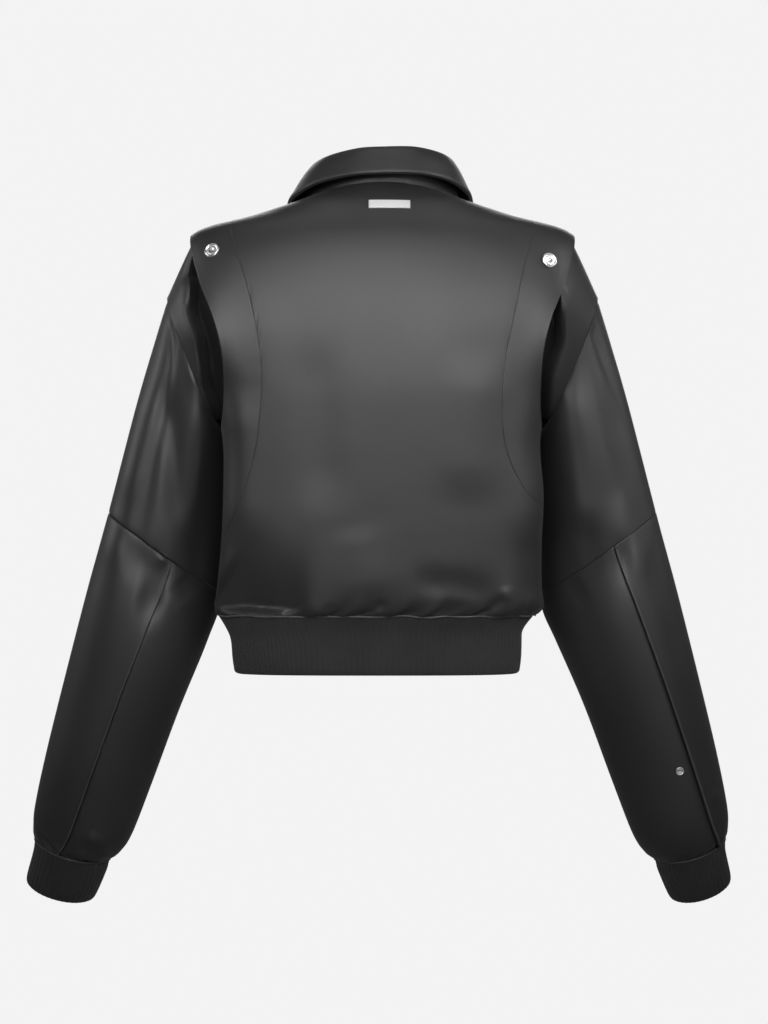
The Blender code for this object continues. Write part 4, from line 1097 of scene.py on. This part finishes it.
def make_lower_sleeve(side):
    rings = between(ELBOW_RING, CUFF_RING, spaced(STEPS_ALONG["sleeve_lower"]))[:, None]
    across = spaced(STEPS_ACROSS["sleeve_lower"])[None, :]
    back = long_seam_turn(BACK_SEAM_TURN[side], rings)
    front = long_seam_turn(FRONT_SEAM_TURN, rings)
    for part, start, end, long_seams in (
        ("inner", back, front, ("sunk", "seam")),
        ("outer", front - 360, back, ("seam", "raised")),
    ):
        at, normal = sleeve_spot(side, between(start, end, across), rings)
        borders = (ELBOW_SEAM[side], "gather", *long_seams)
        depth = sleeve_depth(at, rings)
        cloth_piece(f"sleeve_lower_{part}_{side}", at, normal, borders, depth=depth)


# ---- rib knit
def make_rib(node, at, normal, closed=False, swell=0.0):
    """Ribs along the columns of a grid, gathered at the seam and turned in at the free end."""
    phase = np.arange(at.shape[1]) / RIB_COLUMNS
    from_seam, from_end = along_lines(at, 0)
    high = between(RIB_END_SHARE, 1, smooth(from_end, 0.0, RIB_END_FADE))
    rise = RIB_RISE * np.abs(np.cos(math.pi * phase)) ** RIB_POWER * high
    rise -= rounded(from_end, RIB_END_RADIUS) + rounded(from_seam, RIB_SEAM_RADIUS)
    rise += swell * smooth(from_seam, HEM_SWELL_START, HEM_SWELL_FULL)
    piece = wall_mesh(node + "_knit", at, normal, rise, KNIT, closed)
    dress(piece, RIB, "rib_knit", node)
    declare(at, closed)


def hem_turns(count):
    """Turns round the hem from one edge of its opening to the other."""
    end = 1 - math.asin(ZIP_EDGE_X / HEM_RIB[0].half_width) / math.pi
    return np.linspace(-end, end, count)


def make_hem():
    turns = hem_turns(RIB_COUNT["hem"] * RIB_COLUMNS + 1)[None, :]
    rows = (len(HEM_RIB) - 1) * spaced(STEPS_ALONG["hem"], step=RIB_STEP)[:, None]
    at, normal = hem_spot(turns, rows)
    normal = normal * np.sign((normal * (at - at.mean((0, 1)))).sum())
    make_rib("hem_rib", at, normal, swell=HEM_SWELL)


def make_cuff(side):
    turns = np.linspace(0, 360, RIB_COUNT["cuff"] * RIB_COLUMNS, endpoint=False)[None, :]
    rings = between(CUFF_RING, SLEEVE_END_RING, spaced(STEPS_ALONG["cuff"], step=RIB_STEP))
    make_rib("cuff_" + side, *sleeve_spot(side, turns, rings[:, None]), closed=True)


# ---- collar
def collar_at(turn, part):
    x, y, z = (by_key(COLLAR, "turn", f"{part}_{axis}", np.abs(turn)) for axis in "xyz")
    angle = np.radians(turn)
    leftward = np.maximum(0, np.sin(angle)) ** 2 * (part == "edge")
    x = np.copysign(x, turn) + COLLAR_SHIFT[part] * np.maximum(0, np.cos(angle)) ** 2
    lean = COLLAR_LEAN * np.sin(angle)
    return points(x + COLLAR_LEFT_REACH * leftward, y, z - lean - COLLAR_LEFT_DROP * leftward)


def collar_grid(shares, turns):
    """The fall of the collar, from the fold to its edge, swelling between them."""
    fold, edge = collar_at(turns, "fold")[None], collar_at(turns, "edge")[None]
    away = edge - fold
    away[..., 2] = 0
    away = unit(away) + np.array([0, 0, COLLAR_SWELL_UP])
    to_side = np.sin(np.radians(np.minimum(np.abs(turns), 90)))
    swell = between(COLLAR_SWELL["back"], COLLAR_SWELL["sides"], to_side)[None, :, None]
    shares = shares[:, None, None]
    rise = away * swell * np.sin(math.pi * shares**COLLAR_SWELL_POWER)
    return between(fold, edge, shares) + rise


def collar_piece(name, at, normal, rise, thickness):
    piece = wall_mesh(name + "_cloth", at, normal, rise, thickness)
    dress(piece, SATIN, "satin", name)
    declare(at)


def make_collar():
    reach = COLLAR[-1].turn
    turns = reach * (2 * spaced(STEPS_ACROSS["collar"]) - 1)
    fall = collar_grid(spaced(STEPS_ALONG["collar_fall"], low=NO_EDGE), turns)
    normal = grid_normals(fall)
    normal *= np.sign(normal[..., 2].sum())
    from_fold, *from_edges = *along_lines(fall, 0), *along_lines(fall, 1)
    height, place, width = COLLAR_PIPING
    rise = -COLLAR_FOLD_DROP * rounded(from_fold, COLLAR_FOLD_RADIUS) / COLLAR_FOLD_RADIUS
    for far in from_edges:
        rise += height * hill(far - place, width) - rounded(far, COLLAR_EDGE_RADIUS)
    collar_piece("collar_fall", fall, normal, rise, COLLAR_THICKNESS)

    foot = torso_point(turns / reach * zip_turn(NECK_ROW), NECK_ROW)
    foot = foot * (COLLAR_FOOT_SHARE, COLLAR_FOOT_SHARE, 1.0) - (0, 0, COLLAR_FOOT_DROP)
    top = fall[0] - normal[0] * COLLAR_STAND_DEPTH
    stand = between(foot, top, spaced(STEPS_ALONG["collar_stand"])[:, None, None])
    normal = grid_normals(stand)
    normal *= np.sign((normal * stand)[..., :2].sum())
    from_foot, from_end = along_lines(stand, 0)[0], along_lines(stand, 1)[0]
    rise = border_relief("seam", from_foot, from_end, 1.0, SEEDS["collar_stand"])
    collar_piece("collar_stand", stand, normal, rise, CLOTH)


# ---- cords along the seams
def make_cords():
    """The turned ridge of satin along the hem and cuff seams."""
    at, normal = torso_spot(hem_turns(POINTS["hem_cord"]), 0.0)
    wave, swelling = (
        least + most * ripple(walked(at), SEEDS[name], length)
        for name, (least, most, length) in HEM_CORD_RIPPLES.items()
    )
    cord = tube_mesh("hem_cord", at + normal * CORD_LIFT + points(0, 0, wave), swelling)
    # the hem cord's lighter satin is a painted highlight
    dress(cord, PAINTED_HIGHLIGHT_SATIN, "satin")
    for side in SIDES:
        at, normal = sleeve_spot(side, TURNS_ROUND, CUFF_RING)
        wave = CUFF_CORD_WAVE * np.sin(np.radians(TURNS_ROUND * CUFF_CORD_WAVES))
        at = at + normal * CORD_LIFT + points(0, 0, wave)
        # the cuff cords' lighter satin is a painted highlight
        dress(tube_mesh(f"cuff_cord_{side}", at, CUFF_CORD, closed=True), PAINTED_HIGHLIGHT_SATIN, "satin")


def make_side_seam(side):
    """The closed side seam of the body, below the curved seam."""
    rows = np.linspace(SIDE_SEAM_START, SEAM_END_ROW[side] + SIDE_SEAM_OVERLAP, POINTS["side_seam"])
    at, normal = torso_spot(seam_turn(side, rows) * SIDES[side], rows)
    seam = tube_mesh(f"side_seam_{side}", at - normal * SIDE_SEAM_DEPTH, SIDE_SEAM_CORD)
    dress(seam, SATIN, "satin")


def make_seam_ridge(side):
    """The topstitched edge that stands up beside the long back seam of a lower sleeve."""
    rings = np.linspace(ELBOW_RING + RIDGE_ENDS, CUFF_RING - RIDGE_ENDS, POINTS["seam_ridge"])
    turns = long_seam_turn(BACK_SEAM_TURN[side], rings)
    half = LONG_SEAM_RIDGE[side]
    beside = sleeve_spot(side, turns - RIDGE_SIDE, rings)[0]
    seam, normal = sleeve_spot(side, turns, rings)
    at = seam + unit(beside - seam) * (half + RIDGE_GAP)
    share, length = RIDGE_RIPPLE
    radius = half * (1 + share * ripple(walked(at), SEEDS["seam_ridge"], length))
    lift = RIDGE_LIFT + half * RIDGE_LIFT_SHARE
    at = creased_spot(at, sleeve_depth(at, rings)) + normal * lift
    # the ridge's lighter satin is a painted highlight
    dress(tube_mesh(f"seam_ridge_{side}", at, radius), PAINTED_HIGHLIGHT_SATIN, "satin")


# ---- snaps and tag
def make_snap(node, radius, at, normal, lift):
    """A round cap, turned from its profile."""
    count = SNAP_SEGMENTS
    angles = [2 * math.pi * k / count for k in range(count)]
    vertices = [(0, 0, SNAP_PROFILE[0][1] * radius)]
    for share, height in SNAP_PROFILE[1:]:
        out = radius * share
        vertices += [(out * math.cos(a), out * math.sin(a), radius * height) for a in angles]
    ring = np.arange(count)
    turned = np.roll(ring, -1)
    faces = [[0, 1 + k, 1 + n] for k, n in zip(ring.tolist(), turned.tolist())]
    for low in range(1, len(vertices) - count, count):
        high = low + count
        faces += np.stack([low + ring, high + ring, high + turned, low + turned], -1).tolist()
    faces.append((len(vertices) - 1 - ring).tolist())
    cap = mesh_object(node + "_cap", vertices, faces, sharp=60)
    turn = Vector(normal).to_track_quat("Z", "Y").to_matrix().to_4x4()
    cap.matrix_world = Matrix.Translation(Vector(at + normal * lift)) @ turn
    dress(cap, SILVER, "snap_metal", node)


def make_snaps():
    for side, (turn, row) in SHOULDER_SNAPS.items():
        spot = torso_spot(turn * SIDES[side], row)
        make_snap("snap_" + side, SNAP_RADIUS["shoulder"], *spot, SNAP_LIFT[side])
    spot = sleeve_spot("right", *SLEEVE_SNAP)
    make_snap("sleeve_snap", SNAP_RADIUS["sleeve"], *spot, SNAP_LIFT["sleeve"])


def make_tag():
    """A blank plate with soft edges, bent to the back below the collar."""
    edges = {"low": TAG_EDGE_STEPS, "high": TAG_EDGE_STEPS}
    bottom, top = (torso_point(0.0, row) for row in TAG_ROWS)
    up = spaced(float(np.linalg.norm(top - bottom)), step=TAG_STEP / 2, **edges)
    across = (spaced(TAG_LENGTH, step=TAG_STEP, **edges) - 0.5) * TAG_LENGTH
    rows = between(*TAG_ROWS, up)[:, None]
    at, normal = torso_spot(turn_at(rows, TAG_X + across[None, :]), rows)
    rise = -sum(rounded(np.minimum(*along_lines(at, axis)), TAG_EDGE_RADIUS) for axis in (0, 1))
    piece = wall_mesh("tag_plate_blank", at, normal, rise, TAG_THICKNESS, out=TAG_LIFT)
    dress(piece, PLATE, "snap_metal", "tag_plate")


# ---- zip
def zip_line():
    """Points and normals down the middle of the zip, from its top to the hem's lower edge."""
    rows = np.linspace(ZIP_TOP_ROW, 0.0, POINTS["zip"])
    body, body_normal = torso_spot(zip_turn(rows, ZIP_MIDDLE_X), rows)
    low = np.linspace(0.0, len(HEM_RIB) - 1, POINTS["zip_hem"])[1:]
    turn = 1 - np.arcsin(ZIP_MIDDLE_X / curve(HEM_RIB, "half_width", low)) / math.pi
    hem, hem_normal = hem_spot(turn, low)
    hem_normal = hem_normal * np.where(hem_normal[:, 1:2] > 0, -1, 1)
    body = body - body_normal * ZIP_DEPTH["body"]
    hem = hem - hem_normal * ZIP_DEPTH["hem"]
    return np.concatenate([body, hem]), np.concatenate([body_normal, hem_normal])


def make_teeth():
    """Interlocked metal teeth along the middle of the zip, one after the other from each side."""
    line, normal = zip_line()
    length = walked(line)
    stops = np.arange(TEETH_START, length[-1] - TEETH_START, TOOTH_PITCH)
    at, out = (
        np.stack([np.interp(stops, length, axis) for axis in values.T], axis=1)
        for values in (line, normal)
    )
    out = unit(out)
    down = unit(np.gradient(at, axis=0))
    number = np.arange(len(stops))[:, None, None]
    turn = np.where(number % 2, 1, -1)
    across, down_by, out_by = np.array(TOOTH).T[:, :, None]
    corners = (
        at[:, None] + np.cross(out, down)[:, None] * across * turn
        + down[:, None] * down_by + out[:, None] * out_by
    )
    quad = np.array(BOX_FACES)
    faces = np.where(turn > 0, quad, quad[:, ::-1]) + len(TOOTH) * number
    teeth = mesh_object(
        "zip_teeth", corners.reshape(-1, 3).tolist(), faces.reshape(-1, 4).tolist(), sharp=30
    )
    bevel = teeth.modifiers.new("soft_corners", "BEVEL")
    bevel.width = TOOTH_BEVEL
    bevel.segments = 1
    dress(teeth, GUNMETAL, "zip_metal")


def colour_zip():
    """Gives the solids of the zip, which stay, their materials."""
    for names, material in (
        (("zip_tape_left", "zip_tape_right"), TAPE),
        (("zip_slider", "zip_pull"), GUNMETAL),
    ):
        for name in names:
            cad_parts[name].data.materials.clear()
            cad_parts[name].data.materials.append(material)


# ---- stage, lights and camera
def make_floor():
    """A floor that shows as the same even pale grey as the world behind it."""
    bpy.ops.mesh.primitive_circle_add(
        vertices=FLOOR_SIDES, radius=FLOOR_RADIUS, fill_type="NGON", location=(0, 0, FLOOR_Z)
    )
    floor = bpy.context.object
    floor.name = "floor"
    material, tree = new_material("pale_floor")
    shade(tree, {
        "Base Color": (0, 0, 0, 1),
        "Roughness": 1.0,
        "Specular IOR Level": 0.0,
        "Emission Color": BACKDROP,
        "Emission Strength": 1.0,
    })
    floor.data.materials.append(material)
    floor.visible_diffuse = False
    floor.visible_glossy = False


def make_world():
    """An even backdrop for the camera, and soft light from below for everything else."""
    world = bpy.data.worlds.new("studio")
    bpy.context.scene.world = world
    world.use_nodes = True
    tree = world.node_tree
    tree.nodes.clear()
    where = tree.nodes.new("ShaderNodeTexCoord").outputs["Generated"]
    split = new_node(tree, "ShaderNodeSeparateXYZ", {"Vector": where})
    strength = remap(tree, split.outputs["Z"], *AMBIENT, *AMBIENT_RANGE)
    lit = new_node(tree, "ShaderNodeBackground", {"Strength": strength})
    seen = new_node(tree, "ShaderNodeBackground", {"Color": BACKDROP})
    seen_by_camera = tree.nodes.new("ShaderNodeLightPath").outputs["Is Camera Ray"]
    shaders = {1: lit.outputs["Background"], 2: seen.outputs["Background"]}
    choice = new_node(tree, "ShaderNodeMixShader", {"Fac": seen_by_camera, **shaders})
    new_node(tree, "ShaderNodeOutputWorld", {"Surface": choice.outputs["Shader"]})


def make_light(name, at, towards, size, power, spread):
    light = bpy.data.lights.new(name, "AREA")
    light.shape = "RECTANGLE"
    light.spread = math.radians(spread)
    light.size, light.size_y = size
    light.energy = power
    lamp = placed(name, light)
    lamp.location = at
    lamp.rotation_euler = (Vector(towards) - Vector(at)).to_track_quat("-Z", "Y").to_euler()
    lamp.visible_camera = False


def make_camera():
    data = bpy.data.cameras.new("camera")
    data.sensor_fit = "VERTICAL"
    data.sensor_height = SENSOR
    data.lens = SENSOR * CAMERA_DISTANCE / VIEW_HEIGHT
    camera = placed("camera", data)
    camera.location = (CAMERA_X, CAMERA_DISTANCE, CAMERA_Z)
    camera.rotation_euler = (math.radians(90), 0, math.radians(180))
    bpy.context.scene.camera = camera
    bpy.context.scene.view_settings.view_transform = "Standard"


# ---- the jacket
make_back()
for side in SIDES:
    make_front(side)
    make_wing(side, "back")
    make_wing(side, "front")
    make_side_panel(side)
    make_upper_sleeve(side)
    make_lower_sleeve(side)
    make_cuff(side)
make_hem()
make_collar()
make_cords()
for side in SIDES:
    make_side_seam(side)
for side in SIDES:
    make_seam_ridge(side)
make_snaps()
make_tag()
make_teeth()
colour_zip()
make_floor()
make_world()
for light in LIGHTS:
    make_light(*light)
make_camera()
